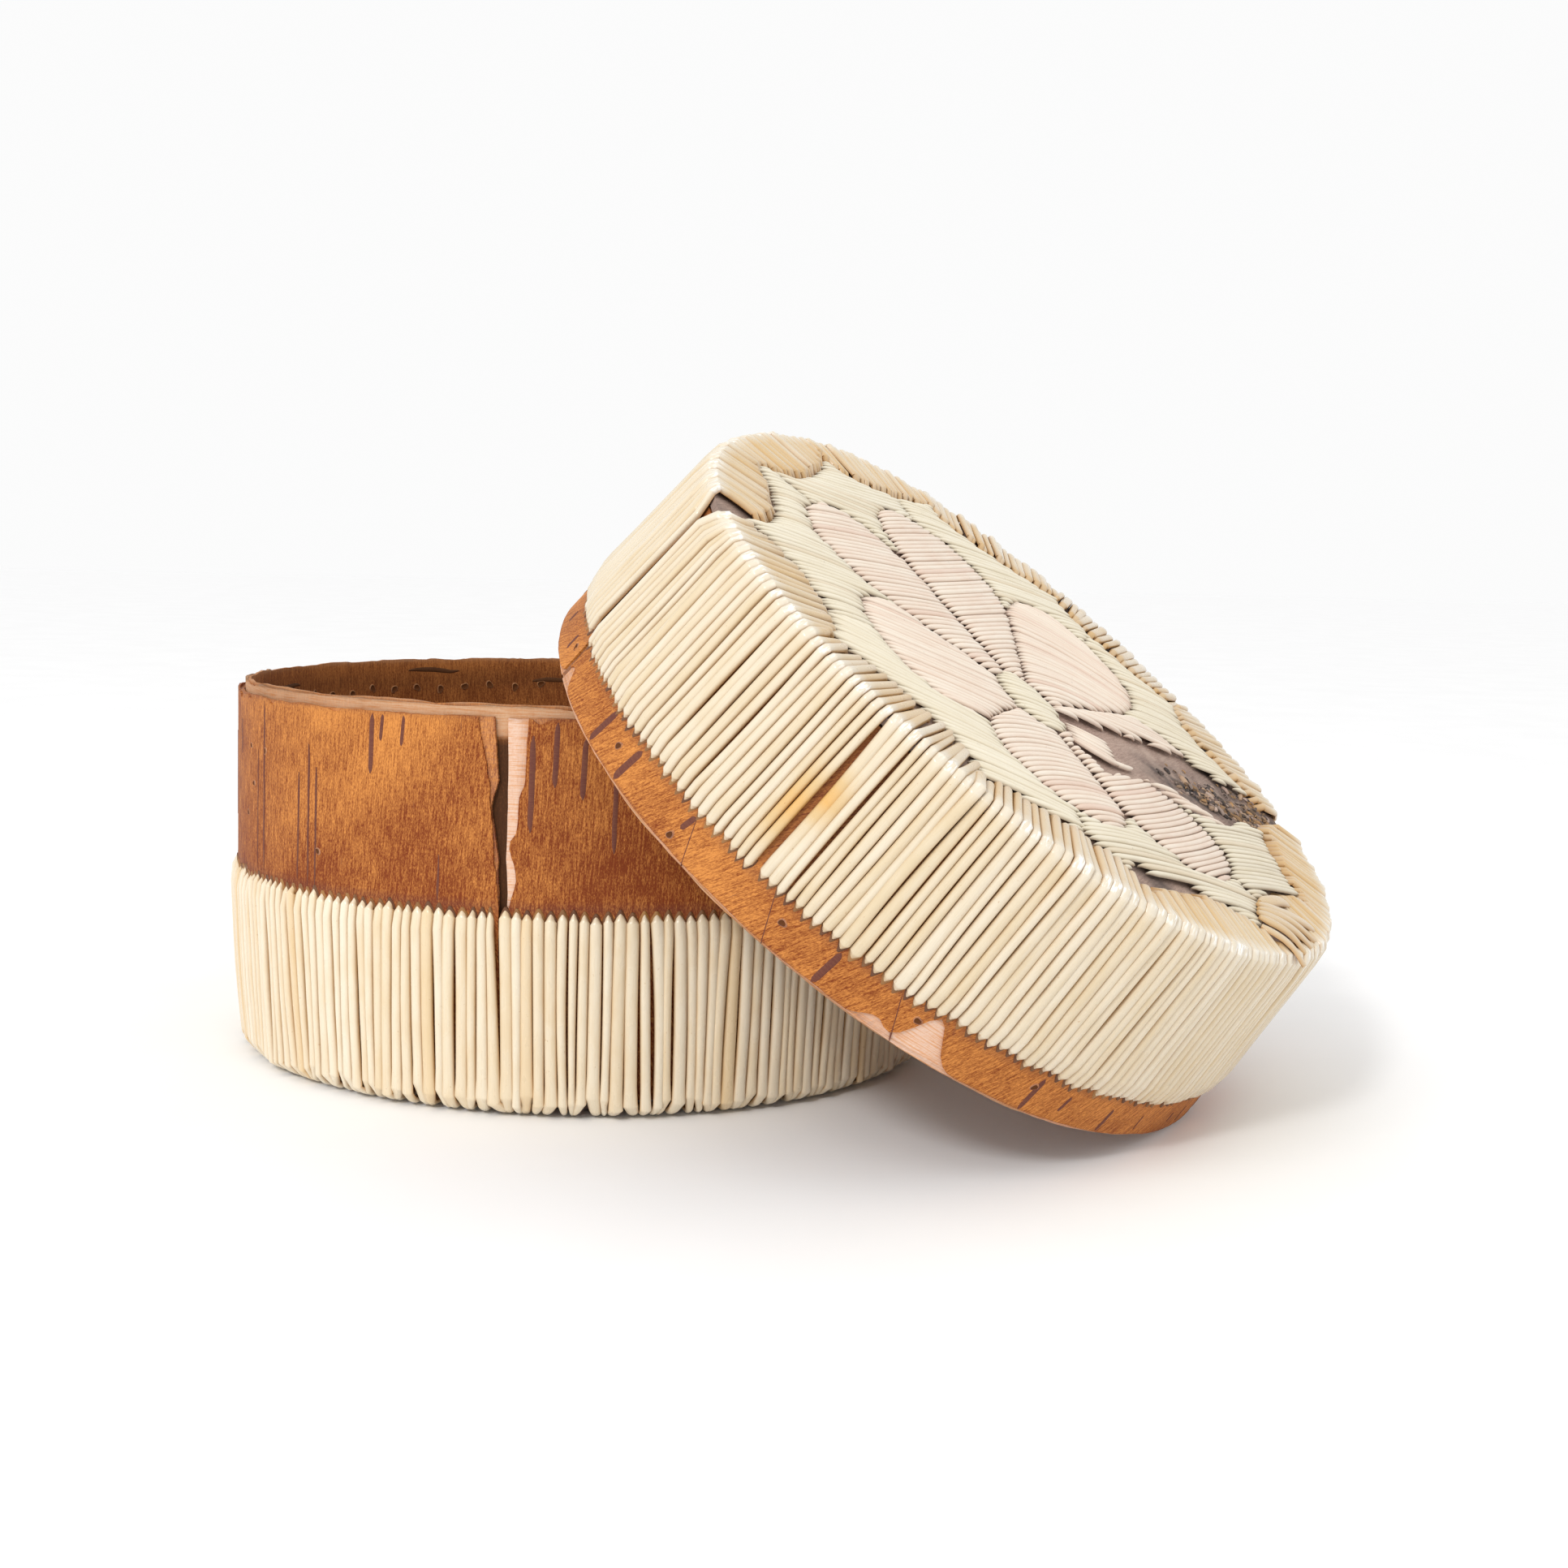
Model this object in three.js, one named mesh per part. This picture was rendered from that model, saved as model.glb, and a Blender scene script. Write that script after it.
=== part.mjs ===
// A low round box of birch bark covered with porcupine quills. Its lid is off and leans on it,
// with the rim over the box's corner and one edge on the ground.
// Millimetres, +Z up. The origin is the centre of the box's underside, on the ground.
import * as THREE from "three";

const DEGREE = Math.PI / 180;
const TURN = 360;

// Stock: bark thicknesses, and the air left between pieces that touch.
const WALL_BARK = 0.9;
const LINER_BARK = 0.8;
const DISC_BARK = 1.0;
const GAP = 0.3;
const SWEEP_STEP = 6; // degrees between the facets of a curved piece

// Base: outer radius of the bark wall at its foot, at the quill line and at its top.
const WALL_FOOT_RADIUS = 51.1;
const QUILL_LINE_RADIUS = 53.1;
const WALL_TOP_RADIUS = 52.9;
const WALL_FOOT_HEIGHT = 2.4;
const QUILL_LINE_HEIGHT = 28.0;
const WALL_TOP_HEIGHT = 53.5;
const LINER_RISE = 1.7; // the liner stands this far above the wall
const BASE_QUILL_FOOT = 52.4; // radius of the quill band where it starts to turn in
const BASE_QUILL_FOOT_HEIGHT = 1.2;
const BASE_QUILL_ROUNDING = 0.8;
const BASE_QUILL_WAIST = 53.5; // radius at the straight part's lower end
const BASE_QUILL_WAIST_HEIGHT = 12;
const BASE_QUILL_BULGE = 54.1; // widest radius of the quill band, just under its points
const TURNED_IN_RADIUS = 47.0; // the quills' ends reach this far in under the bottom
const UNDERSIDE_LIFT = 0.1; // the turned-in ends stay this far off the ground
const BOTTOM_DISC_RADIUS = 51.0;
const BASE_QUILL_GROUPS = 12;
const WALL_SEAM = 256.5; // degrees round the box, where the wall's ends meet with a gap
const WALL_SEAM_GAP = 2.2;
const LINER_SEAM = 62;
const LINER_SEAM_GAP = 0.5;

// Both quill bands: the bulge lies this far from the quill line, where the points stand a
// little off the bark.
const BULGE_FROM_LINE = 3;
const POINT_LIFT = 0.2;

// Lid, in its own frame: height 0 at the rim, the quilled top at LID_HEIGHT.
const RIM_RADIUS = 57.9;
const LID_LINE_RADIUS = 57.3; // bark radius at the lid's quill line
const LID_LINE_HEIGHT = 5.9;
const LID_WALL_TOP_RADIUS = 54.4;
const LID_WALL_HEIGHT = 28.2;
const LID_HEIGHT = 30.7;
const LID_QUILL_BULGE = 58.1;
const LID_SHOULDER_RADIUS = 55.8; // the quills start to fold over the edge here
const LID_EDGE_RADIUS = 55.3;
const LID_CREASE_RADIUS = 54.4; // and lie flat on the top from here
const FOLD_HEIGHT = 1; // the shoulder and the edge lie this far below the wall's top and the lid's
const LINER_DROP = 0.5; // the lid's liner shows below its wall
const LID_LINER_TOP = 26.4;
const LID_SEAM = 231.5;
const LID_SEAM_GAP = 1.0;
const LID_LINER_SEAM = 95;

// Where the lid leans: the rim's centre in plan, the slope of its axis, and its direction.
const LID_CENTRE_X = 43.0;
const LID_CENTRE_Y = -30.3;
const LID_AXIS_RISE = 50.3;
const LID_AXIS_TURN = 29.5; // from +X towards -Y

// Quilled top: a rosette of petals set off centre on a ground with a scalloped border.
const TOP_UNDERSIDE = 29.7;
const FLOWER = { x: 4, y: -9.5 };
const FLOWER_HEART_RADIUS = 6;
const PETAL_COUNT = 7;
const PETAL_TIP_RADIUS = 38.5; // from the middle of the lid
const FIRST_PETAL_ANGLE = 46;
const PETAL_SHOULDER = 0.64; // part of the petal's length where it parts from its neighbour
const PETAL_SIDE_POWER = 2.2; // higher is a broader petal
const PETAL_TIP_POWER = 0.5; // lower is a blunter tip
const HEART_POINTS = 24;
const HEART_SIDE_STEPS = 4;
const PETAL_STEPS = 16;
const PETAL_SIDE_STEPS = 8;
const BORDER_STEPS = 18;
const WORN_FROM = -17; // the first petal is bare bark between these turns from its middle
const WORN_TO = 9;
const SCALLOP_CUSP_RADIUS = 50.5;
const SCALLOP_CROWN_RADIUS = 44.5;
// Degrees round the lid from cusp to cusp. The break between 44 and 51 is lost quills.
const SCALLOPS = [
  [231.5, 257], [257, 284], [284, 313], [313, 343], [343, 375], [375, 404],
  [411, 437], [437, 467], [467, 497], [497, 528], [528, 562], [562, 591.5],
];

// Hand-bent bark is a little out of round: waves round the outline, as parts of the radius.
const BASE_WAVES = [
  { count: 2, depth: 0.0064, at: -19 },
  { count: 3, depth: 0.0082, at: -49 },
  { count: 4, depth: 0.003, at: 14 },
];
const LID_WAVES = [
  { count: 2, depth: 0.0363, at: 88 },
  { count: 3, depth: 0.0151, at: 12 },
  { count: 4, depth: 0.0081, at: -40 },
];

const BARK = { color: 0xa8632f, roughness: 0.72, metalness: 0 };
const INNER_BARK = { color: 0xb57b4c, roughness: 0.8, metalness: 0 };
const IVORY_QUILL = { color: 0xe6d7b0, roughness: 0.35, metalness: 0 };
const TAN_QUILL = { color: 0xdcc08c, roughness: 0.4, metalness: 0 };
const GROUND_QUILL = { color: 0xc9c2a3, roughness: 0.5, metalness: 0 };
const PETAL_QUILL = { color: 0xd9bfa6, roughness: 0.5, metalness: 0 };

// How far out of round the outline is at an angle, as a factor on every radius.
function outOfRound(waves, degrees) {
  return waves.reduce(
    (sum, wave) => sum + wave.depth * Math.cos(wave.count * (degrees - wave.at) * DEGREE),
    1,
  );
}

function mesh(name, geometry, material) {
  const piece = new THREE.Mesh(geometry, new THREE.MeshStandardMaterial(material));
  piece.name = name;
  return piece;
}

// Moves each vertex by a rule from its own coordinates to a new place.
function reshape(geometry, rule) {
  const position = geometry.getAttribute("position");
  for (let i = 0; i < position.count; i++) {
    const place = rule(position.getX(i), position.getY(i), position.getZ(i));
    position.setXYZ(i, place.x, place.y, place.z);
  }
  geometry.computeVertexNormals();
  return geometry;
}

// A strip with the closed profile [radius, height] bent round the axis between two angles.
// reach turns a profile radius into the radius wanted at an angle, for a shaped inner end.
function bentStrip(profile, from, to, waves, reach = (radius) => radius) {
  const section = new THREE.Shape(profile.map(([radius, height]) => new THREE.Vector2(radius, height)));
  const geometry = new THREE.ExtrudeGeometry(section, {
    depth: to - from,
    steps: Math.ceil((to - from) / SWEEP_STEP),
    bevelEnabled: false,
  });
  return reshape(geometry, (radius, height, along) => {
    const degrees = to - along;
    const out = reach(radius, degrees) * outOfRound(waves, degrees);
    return polar(out, degrees, height);
  });
}

function polar(radius, degrees, z = 0) {
  return new THREE.Vector3(
    radius * Math.cos(degrees * DEGREE),
    radius * Math.sin(degrees * DEGREE),
    z,
  );
}

// A solid of revolution that ends on the axis, pressed out of round.
function turnedDisc(profile, waves) {
  const points = profile.map(([radius, height]) => new THREE.Vector2(radius, height));
  const geometry = new THREE.LatheGeometry(points, TURN / SWEEP_STEP).rotateX(90 * DEGREE);
  return reshape(geometry, (x, y, z) => {
    const factor = outOfRound(waves, Math.atan2(y, x) / DEGREE);
    return new THREE.Vector3(x * factor, y * factor, z);
  });
}

// A flat plate of the given outline between two heights.
function plate(outline, low, high) {
  const shape = new THREE.Shape(outline);
  const depth = high - low;
  return new THREE.ExtrudeGeometry(shape, { depth, bevelEnabled: false }).translate(0, 0, low);
}

// A flat bark disc between two heights.
function barkDisc(radius, low, waves) {
  return turnedDisc([[0, low], [radius, low], [radius, low + DISC_BARK], [0, low + DISC_BARK]], waves);
}

// Angle taken by a gap across a radius.
function gapAngle(radius, gap = GAP) {
  return gap / radius / DEGREE;
}

// ---- Base ---------------------------------------------------------------------------------

function baseWall() {
  const halfGap = gapAngle(WALL_TOP_RADIUS, WALL_SEAM_GAP) / 2;
  const profile = [
    [WALL_FOOT_RADIUS, WALL_FOOT_HEIGHT],
    [QUILL_LINE_RADIUS, QUILL_LINE_HEIGHT],
    [WALL_TOP_RADIUS, WALL_TOP_HEIGHT],
    [WALL_TOP_RADIUS - WALL_BARK, WALL_TOP_HEIGHT],
    [QUILL_LINE_RADIUS - WALL_BARK, QUILL_LINE_HEIGHT],
    [WALL_FOOT_RADIUS - WALL_BARK, WALL_FOOT_HEIGHT],
  ];
  return bentStrip(profile, WALL_SEAM + halfGap, WALL_SEAM + TURN - halfGap, BASE_WAVES);
}

function baseLiner() {
  const halfGap = gapAngle(WALL_TOP_RADIUS, LINER_SEAM_GAP) / 2;
  const foot = WALL_FOOT_RADIUS - WALL_BARK - GAP;
  const line = QUILL_LINE_RADIUS - WALL_BARK - GAP;
  const top = WALL_TOP_RADIUS - WALL_BARK - GAP;
  const profile = [
    [foot, WALL_FOOT_HEIGHT],
    [line, QUILL_LINE_HEIGHT],
    [top, WALL_TOP_HEIGHT + LINER_RISE],
    [top - LINER_BARK, WALL_TOP_HEIGHT + LINER_RISE],
    [line - LINER_BARK, QUILL_LINE_HEIGHT],
    [foot - LINER_BARK, WALL_FOOT_HEIGHT],
  ];
  return bentStrip(profile, LINER_SEAM + halfGap, LINER_SEAM + TURN - halfGap, BASE_WAVES);
}

// The bottom: a disc whose middle comes down flush with the quills turned in under its edge.
function baseBottom() {
  const flushRadius = TURNED_IN_RADIUS - GAP;
  const top = WALL_FOOT_HEIGHT - GAP;
  const rebate = top - DISC_BARK;
  const profile = [
    [0, 0],
    [flushRadius, 0],
    [flushRadius, rebate],
    [BOTTOM_DISC_RADIUS, rebate],
    [BOTTOM_DISC_RADIUS, top],
    [0, top],
  ];
  return turnedDisc(profile, BASE_WAVES);
}

// One group of side quills: points at the quill line, down the wall and in under the edge.
function baseQuillGroup(from, to) {
  const underTop = WALL_FOOT_HEIGHT - GAP - DISC_BARK - GAP;
  const profile = [
    [TURNED_IN_RADIUS, UNDERSIDE_LIFT],
    [BASE_QUILL_FOOT - BASE_QUILL_ROUNDING, UNDERSIDE_LIFT],
    [BASE_QUILL_FOOT, BASE_QUILL_FOOT_HEIGHT],
    [BASE_QUILL_WAIST, BASE_QUILL_WAIST_HEIGHT],
    [BASE_QUILL_BULGE, QUILL_LINE_HEIGHT - BULGE_FROM_LINE],
    [QUILL_LINE_RADIUS + GAP + POINT_LIFT, QUILL_LINE_HEIGHT],
    [QUILL_LINE_RADIUS + GAP, QUILL_LINE_HEIGHT],
    [WALL_FOOT_RADIUS + GAP, WALL_FOOT_HEIGHT],
    [WALL_FOOT_RADIUS + GAP, underTop],
    [TURNED_IN_RADIUS, underTop],
  ];
  return bentStrip(profile, from, to, BASE_WAVES);
}

function makeBase() {
  const base = new THREE.Group();
  base.add(mesh("base_wall_bark", baseWall(), BARK));
  base.add(mesh("base_liner_bark", baseLiner(), INNER_BARK));
  base.add(mesh("base_bottom_bark", baseBottom(), BARK));
  const linerInside = WALL_FOOT_RADIUS - WALL_BARK - GAP - LINER_BARK;
  const lining = barkDisc(linerInside - 2 * GAP, WALL_FOOT_HEIGHT, BASE_WAVES);
  base.add(mesh("base_bottom_lining", lining, INNER_BARK));
  const arc = TURN / BASE_QUILL_GROUPS;
  const halfGap = gapAngle(TURNED_IN_RADIUS) / 2;
  for (let group = 0; group < BASE_QUILL_GROUPS; group++) {
    const from = WALL_SEAM + group * arc;
    const quills = baseQuillGroup(from + halfGap, from + arc - halfGap);
    base.add(mesh(`base_quills_${group + 1}`, quills, IVORY_QUILL));
  }
  return base;
}

// ---- Lid ----------------------------------------------------------------------------------

function lidWall() {
  const halfGap = gapAngle(RIM_RADIUS, LID_SEAM_GAP) / 2;
  const profile = [
    [RIM_RADIUS, 0],
    [LID_LINE_RADIUS, LID_LINE_HEIGHT],
    [LID_WALL_TOP_RADIUS, LID_WALL_HEIGHT],
    [LID_WALL_TOP_RADIUS - WALL_BARK, LID_WALL_HEIGHT],
    [LID_LINE_RADIUS - WALL_BARK, LID_LINE_HEIGHT],
    [RIM_RADIUS - WALL_BARK, 0],
  ];
  return bentStrip(profile, LID_SEAM + halfGap, LID_SEAM + TURN - halfGap, LID_WAVES);
}

function lidLiner() {
  const halfGap = gapAngle(RIM_RADIUS, LINER_SEAM_GAP) / 2;
  const inset = WALL_BARK + GAP;
  const rise = (LID_LINER_TOP - LID_LINE_HEIGHT) / (LID_WALL_HEIGHT - LID_LINE_HEIGHT);
  const line = LID_LINE_RADIUS - inset;
  const top = THREE.MathUtils.lerp(LID_LINE_RADIUS, LID_WALL_TOP_RADIUS, rise) - inset;
  const profile = [
    [RIM_RADIUS - inset, -LINER_DROP],
    [line, LID_LINE_HEIGHT],
    [top, LID_LINER_TOP],
    [top - LINER_BARK, LID_LINER_TOP],
    [line - LINER_BARK, LID_LINE_HEIGHT],
    [RIM_RADIUS - inset - LINER_BARK, -LINER_DROP],
  ];
  return bentStrip(profile, LID_LINER_SEAM + halfGap, LID_LINER_SEAM + TURN - halfGap, LID_WAVES);
}

// Radius of the scalloped border at an angle inside one scallop.
function scallopRadius(degrees, [from, to]) {
  const across = (2 * (degrees - from)) / (to - from) - 1;
  const crown = Math.sqrt(Math.max(0, 1 - across * across));
  return THREE.MathUtils.lerp(SCALLOP_CUSP_RADIUS, SCALLOP_CROWN_RADIUS, crown);
}

// One scallop of edge quills: up the side from the quill line, over the crease, and in over
// the top to the scallop's curved end.
function edgeQuillGroup(scallop) {
  const flapEnd = SCALLOP_CROWN_RADIUS;
  const fold = LID_WALL_TOP_RADIUS + GAP;
  const profile = [
    [LID_LINE_RADIUS + GAP, LID_LINE_HEIGHT],
    [LID_LINE_RADIUS + GAP + POINT_LIFT, LID_LINE_HEIGHT],
    [LID_QUILL_BULGE, LID_LINE_HEIGHT + BULGE_FROM_LINE],
    [LID_SHOULDER_RADIUS, LID_WALL_HEIGHT - FOLD_HEIGHT],
    [LID_EDGE_RADIUS, LID_HEIGHT - FOLD_HEIGHT],
    [LID_CREASE_RADIUS, LID_HEIGHT],
    [flapEnd, LID_HEIGHT],
    [flapEnd, TOP_UNDERSIDE],
    [fold, TOP_UNDERSIDE],
    [fold, LID_WALL_HEIGHT],
  ];
  const halfGap = gapAngle(SCALLOP_CUSP_RADIUS) / 2;
  const shapeFlap = (radius, degrees) =>
    radius > flapEnd ? radius : scallopRadius(degrees, scallop);
  return bentStrip(profile, scallop[0] + halfGap, scallop[1] - halfGap, LID_WAVES, shapeFlap);
}

// Petals seen from the flower's heart: direction and length of each, and the direction and
// distance where it parts from the next one.
function layOutPetals() {
  const petals = Array.from({ length: PETAL_COUNT }, (_, index) => {
    const tipAngle = FIRST_PETAL_ANGLE + (index * TURN) / PETAL_COUNT;
    const tip = polar(PETAL_TIP_RADIUS, tipAngle);
    const toTip = new THREE.Vector2(tip.x - FLOWER.x, tip.y - FLOWER.y);
    return { tipAngle, direction: toTip.angle() / DEGREE, length: toTip.length() };
  });
  petals.forEach((petal, index) => {
    const next = petals[(index + 1) % PETAL_COUNT];
    const turn = THREE.MathUtils.euclideanModulo(next.direction - petal.direction, TURN);
    petal.parting = petal.direction + turn / 2;
    petal.shoulder = PETAL_SHOULDER * Math.min(petal.length, next.length);
  });
  petals.forEach((petal, index) => {
    const previous = petals[(index + PETAL_COUNT - 1) % PETAL_COUNT];
    const back = THREE.MathUtils.euclideanModulo(petal.direction - previous.parting, TURN);
    petal.start = petal.direction - back;
    petal.startShoulder = previous.shoulder;
  });
  return petals;
}

// How far a petal reaches from the heart in a direction between its two partings.
function petalReach(petal, degrees) {
  const after = degrees > petal.direction;
  const edge = after ? petal.parting : petal.start;
  const shoulder = after ? petal.shoulder : petal.startShoulder;
  const across = Math.min(1, Math.abs((degrees - petal.direction) / (edge - petal.direction)));
  const swell = Math.pow(1 - Math.pow(across, PETAL_SIDE_POWER), PETAL_TIP_POWER);
  return THREE.MathUtils.lerp(shoulder, petal.length, swell);
}

function fromHeart(reach, degrees) {
  const arm = polar(reach, degrees);
  return new THREE.Vector2(FLOWER.x + arm.x, FLOWER.y + arm.y);
}

// Points of a curve at even turns from one angle to another.
function alongArc(from, to, count, pointAt) {
  return Array.from({ length: count + 1 }, (_, i) => pointAt(from + ((to - from) * i) / count));
}

// The part of a petal between two directions.
function petalPlate(petal, from, to) {
  const inner = FLOWER_HEART_RADIUS + GAP;
  const [outerFrom, outerTo] = [from, to].map((edge) => petalReach(petal, edge));
  const outer = alongArc(
    from + gapAngle(outerFrom) / 2,
    to - gapAngle(outerTo) / 2,
    PETAL_STEPS,
    (degrees) => fromHeart(petalReach(petal, degrees), degrees),
  );
  const heartSide = alongArc(
    to - gapAngle(inner) / 2,
    from + gapAngle(inner) / 2,
    HEART_SIDE_STEPS,
    (degrees) => fromHeart(inner, degrees),
  );
  return plate([...outer, ...heartSide], TOP_UNDERSIDE, LID_HEIGHT);
}

// Where the ground meets the scalloped border at an angle round the lid.
function groundEdge(degrees) {
  const turned = SCALLOPS[0][0] + THREE.MathUtils.euclideanModulo(degrees - SCALLOPS[0][0], TURN);
  const scallop = SCALLOPS.find(([from, to]) => turned >= from && turned <= to);
  const radius = scallop ? scallopRadius(turned, scallop) : SCALLOP_CUSP_RADIUS;
  const edge = polar((radius - GAP) * outOfRound(LID_WAVES, degrees), degrees);
  return new THREE.Vector2(edge.x, edge.y);
}

// The ground between two petals: out along one tip's seam, round the border, and back along
// the next tip's seam and the two petals' sides.
function groundPlate(petal, next) {
  const nextTipAngle = petal.tipAngle + TURN / PETAL_COUNT;
  const border = alongArc(
    petal.tipAngle + gapAngle(SCALLOP_CUSP_RADIUS) / 2,
    nextTipAngle - gapAngle(SCALLOP_CUSP_RADIUS) / 2,
    BORDER_STEPS,
    groundEdge,
  );
  const clearOf = (side, degrees) => {
    const inward = Math.sign(side.direction - degrees) * gapAngle(side.length * PETAL_SHOULDER);
    return fromHeart(petalReach(side, degrees + inward) + GAP, degrees);
  };
  const seamTurn = gapAngle(PETAL_TIP_RADIUS) / 2;
  const alongNext = alongArc(next.direction - seamTurn, next.start, PETAL_SIDE_STEPS, (degrees) =>
    clearOf(next, degrees),
  );
  const alongFirst = alongArc(petal.parting, petal.direction + seamTurn, PETAL_SIDE_STEPS, (degrees) =>
    clearOf(petal, degrees),
  );
  return plate([...border, ...alongNext, ...alongFirst.slice(1)], TOP_UNDERSIDE, LID_HEIGHT);
}

function quilledTop() {
  const top = new THREE.Group();
  const petals = layOutPetals();
  const lastPoint = TURN - TURN / HEART_POINTS;
  const heart = alongArc(0, lastPoint, HEART_POINTS - 1, (degrees) =>
    fromHeart(FLOWER_HEART_RADIUS, degrees),
  );
  top.add(mesh("lid_flower_heart", plate(heart, TOP_UNDERSIDE, LID_HEIGHT), GROUND_QUILL));
  petals.forEach((petal, index) => {
    const next = petals[(index + 1) % PETAL_COUNT];
    const ground = groundPlate(petal, next);
    top.add(mesh(`lid_ground_quills_${index + 1}`, ground, GROUND_QUILL));
    if (index > 0) {
      const whole = petalPlate(petal, petal.start, petal.parting);
      top.add(mesh(`lid_petal_quills_${index + 1}`, whole, PETAL_QUILL));
    }
  });
  const worn = petals[0];
  const before = petalPlate(worn, worn.start, worn.direction + WORN_FROM);
  const after = petalPlate(worn, worn.direction + WORN_TO, worn.parting);
  top.add(mesh("lid_petal_quills_1a", before, PETAL_QUILL));
  top.add(mesh("lid_petal_quills_1b", after, PETAL_QUILL));
  return top;
}

function makeLid() {
  const lid = new THREE.Group();
  lid.add(mesh("lid_wall_bark", lidWall(), BARK));
  lid.add(mesh("lid_liner_bark", lidLiner(), INNER_BARK));
  const topDisc = barkDisc(LID_WALL_TOP_RADIUS, LID_WALL_HEIGHT + GAP, LID_WAVES);
  lid.add(mesh("lid_top_bark", topDisc, BARK));
  const liningRadius = LID_WALL_TOP_RADIUS - WALL_BARK - 2 * GAP;
  const lining = barkDisc(liningRadius, LID_LINER_TOP + GAP, LID_WAVES);
  lid.add(mesh("lid_top_lining", lining, INNER_BARK));
  SCALLOPS.forEach((scallop, index) => {
    lid.add(mesh(`lid_edge_quills_${index + 1}`, edgeQuillGroup(scallop), TAN_QUILL));
  });
  lid.add(quilledTop());
  return lid;
}

// Leans the lid: its own +X points down the slope to the rim's lowest edge, which is set on
// the ground.
function leanLid(lid) {
  const tilt = (90 - LID_AXIS_RISE) * DEGREE;
  lid.rotation.order = "ZYX";
  lid.rotation.y = tilt;
  lid.rotation.z = -LID_AXIS_TURN * DEGREE;
  const drops = alongArc(-90, 90, 180, (degrees) => {
    const downSlope = polar(RIM_RADIUS * outOfRound(LID_WAVES, degrees), degrees).x;
    return downSlope * Math.sin(tilt);
  });
  lid.position.set(LID_CENTRE_X, LID_CENTRE_Y, Math.max(...drops));
}

const box = new THREE.Group();
const lid = makeLid();
leanLid(lid);
box.add(makeBase(), lid);
export default box;
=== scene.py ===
import math

import bpy
import numpy as np
from mathutils import Matrix


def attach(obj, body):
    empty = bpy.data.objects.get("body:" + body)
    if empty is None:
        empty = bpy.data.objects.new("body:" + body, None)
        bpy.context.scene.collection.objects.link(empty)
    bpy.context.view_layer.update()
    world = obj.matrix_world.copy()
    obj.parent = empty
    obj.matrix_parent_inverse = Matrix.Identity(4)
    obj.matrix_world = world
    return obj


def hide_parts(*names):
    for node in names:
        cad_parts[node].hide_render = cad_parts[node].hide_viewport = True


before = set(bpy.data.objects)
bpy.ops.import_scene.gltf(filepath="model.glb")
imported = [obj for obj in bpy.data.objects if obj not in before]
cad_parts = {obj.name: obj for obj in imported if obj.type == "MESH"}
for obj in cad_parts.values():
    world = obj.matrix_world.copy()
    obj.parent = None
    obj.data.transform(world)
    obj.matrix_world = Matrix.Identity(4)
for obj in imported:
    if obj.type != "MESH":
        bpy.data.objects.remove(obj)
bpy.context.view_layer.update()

MM = 0.001
TURN = 360.0
UPWARD = np.array([0.0, 0.0, 1.0])
SHARP_EDGE = 50  # degrees between two faces that are shaded apart

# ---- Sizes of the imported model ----

WALL_BARK = 0.9
LINER_BARK = 0.8
DISC_BARK = 1.0
GAP = 0.3

WALL_FOOT = (51.1, 2.4)  # radius and height of the base's wall
WALL_LINE = (53.1, 28.0)
WALL_TOP = (52.9, 53.5)
LINER_RISE = 1.7
QUILL_FOOT = (52.4, 1.2)
QUILL_WAIST = (53.5, 12.0)
QUILL_BULGE = (54.1, 25.0)
TURNED_IN_RADIUS = 47.0
UNDERSIDE_LIFT = 0.1
BASE_GROUPS = 12
WALL_SEAM = 256.5
LINER_SEAM = 62.0

RIM = (57.9, 0.0)  # radius and height in the lid's own frame
LID_LINE = (57.3, 5.9)
LID_WALL_TOP = (54.4, 28.2)
LID_BULGE = (58.1, 8.9)
LID_SHOULDER = (55.8, 27.2)
LID_EDGE = (55.3, 29.7)
LID_CREASE = (54.4, 30.7)
LINER_DROP = 0.5
LID_LINER_TOP = 26.4
LID_SEAM = 231.5
LID_LINER_SEAM = 95.0
LID_CENTRE = (43.0, -30.3)
LID_AXIS_RISE = 50.3
LID_AXIS_TURN = 29.5

TOP_UNDERSIDE = 29.7
FLOWER = np.array([4.0, -9.5])
HEART_RADIUS = 6.0
PETAL_COUNT = 7
PETAL_TIP_RADIUS = 38.5
FIRST_PETAL = 46.0
PETAL_SHOULDER = 0.64
PETAL_SIDE_POWER = 2.2
PETAL_TIP_POWER = 0.5
WORN_FROM = -17.0
WORN_TO = 9.0
CUSP_RADIUS = 50.5
CROWN_RADIUS = 44.5
SCALLOPS = [
    (231.5, 257), (257, 284), (284, 313), (313, 343), (343, 375), (375, 404),
    (411, 437), (437, 467), (467, 497), (497, 528), (528, 562), (562, 591.5),
]

# Waves that press each outline out of round: count, part of the radius, and where.
BASE_WAVES = [(2, 0.0064, -19), (3, 0.0082, -49), (4, 0.003, 14)]
LID_WAVES = [(2, 0.0363, 88), (3, 0.0151, 12), (4, 0.0081, -40)]


def out_of_round(waves, degrees):
    return 1 + sum(depth * np.cos(np.radians(count * (degrees - at))) for count, depth, at in waves)


def ring(radius, degrees, height, waves):
    """Points at these radii, turns and heights on an outline pressed out of round."""
    radius, degrees, height = np.broadcast_arrays(radius, degrees, height)
    out = radius * out_of_round(waves, degrees)
    turn = np.radians(degrees)
    return np.stack([out * np.cos(turn), out * np.sin(turn), height + 0.0], axis=-1)


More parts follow.
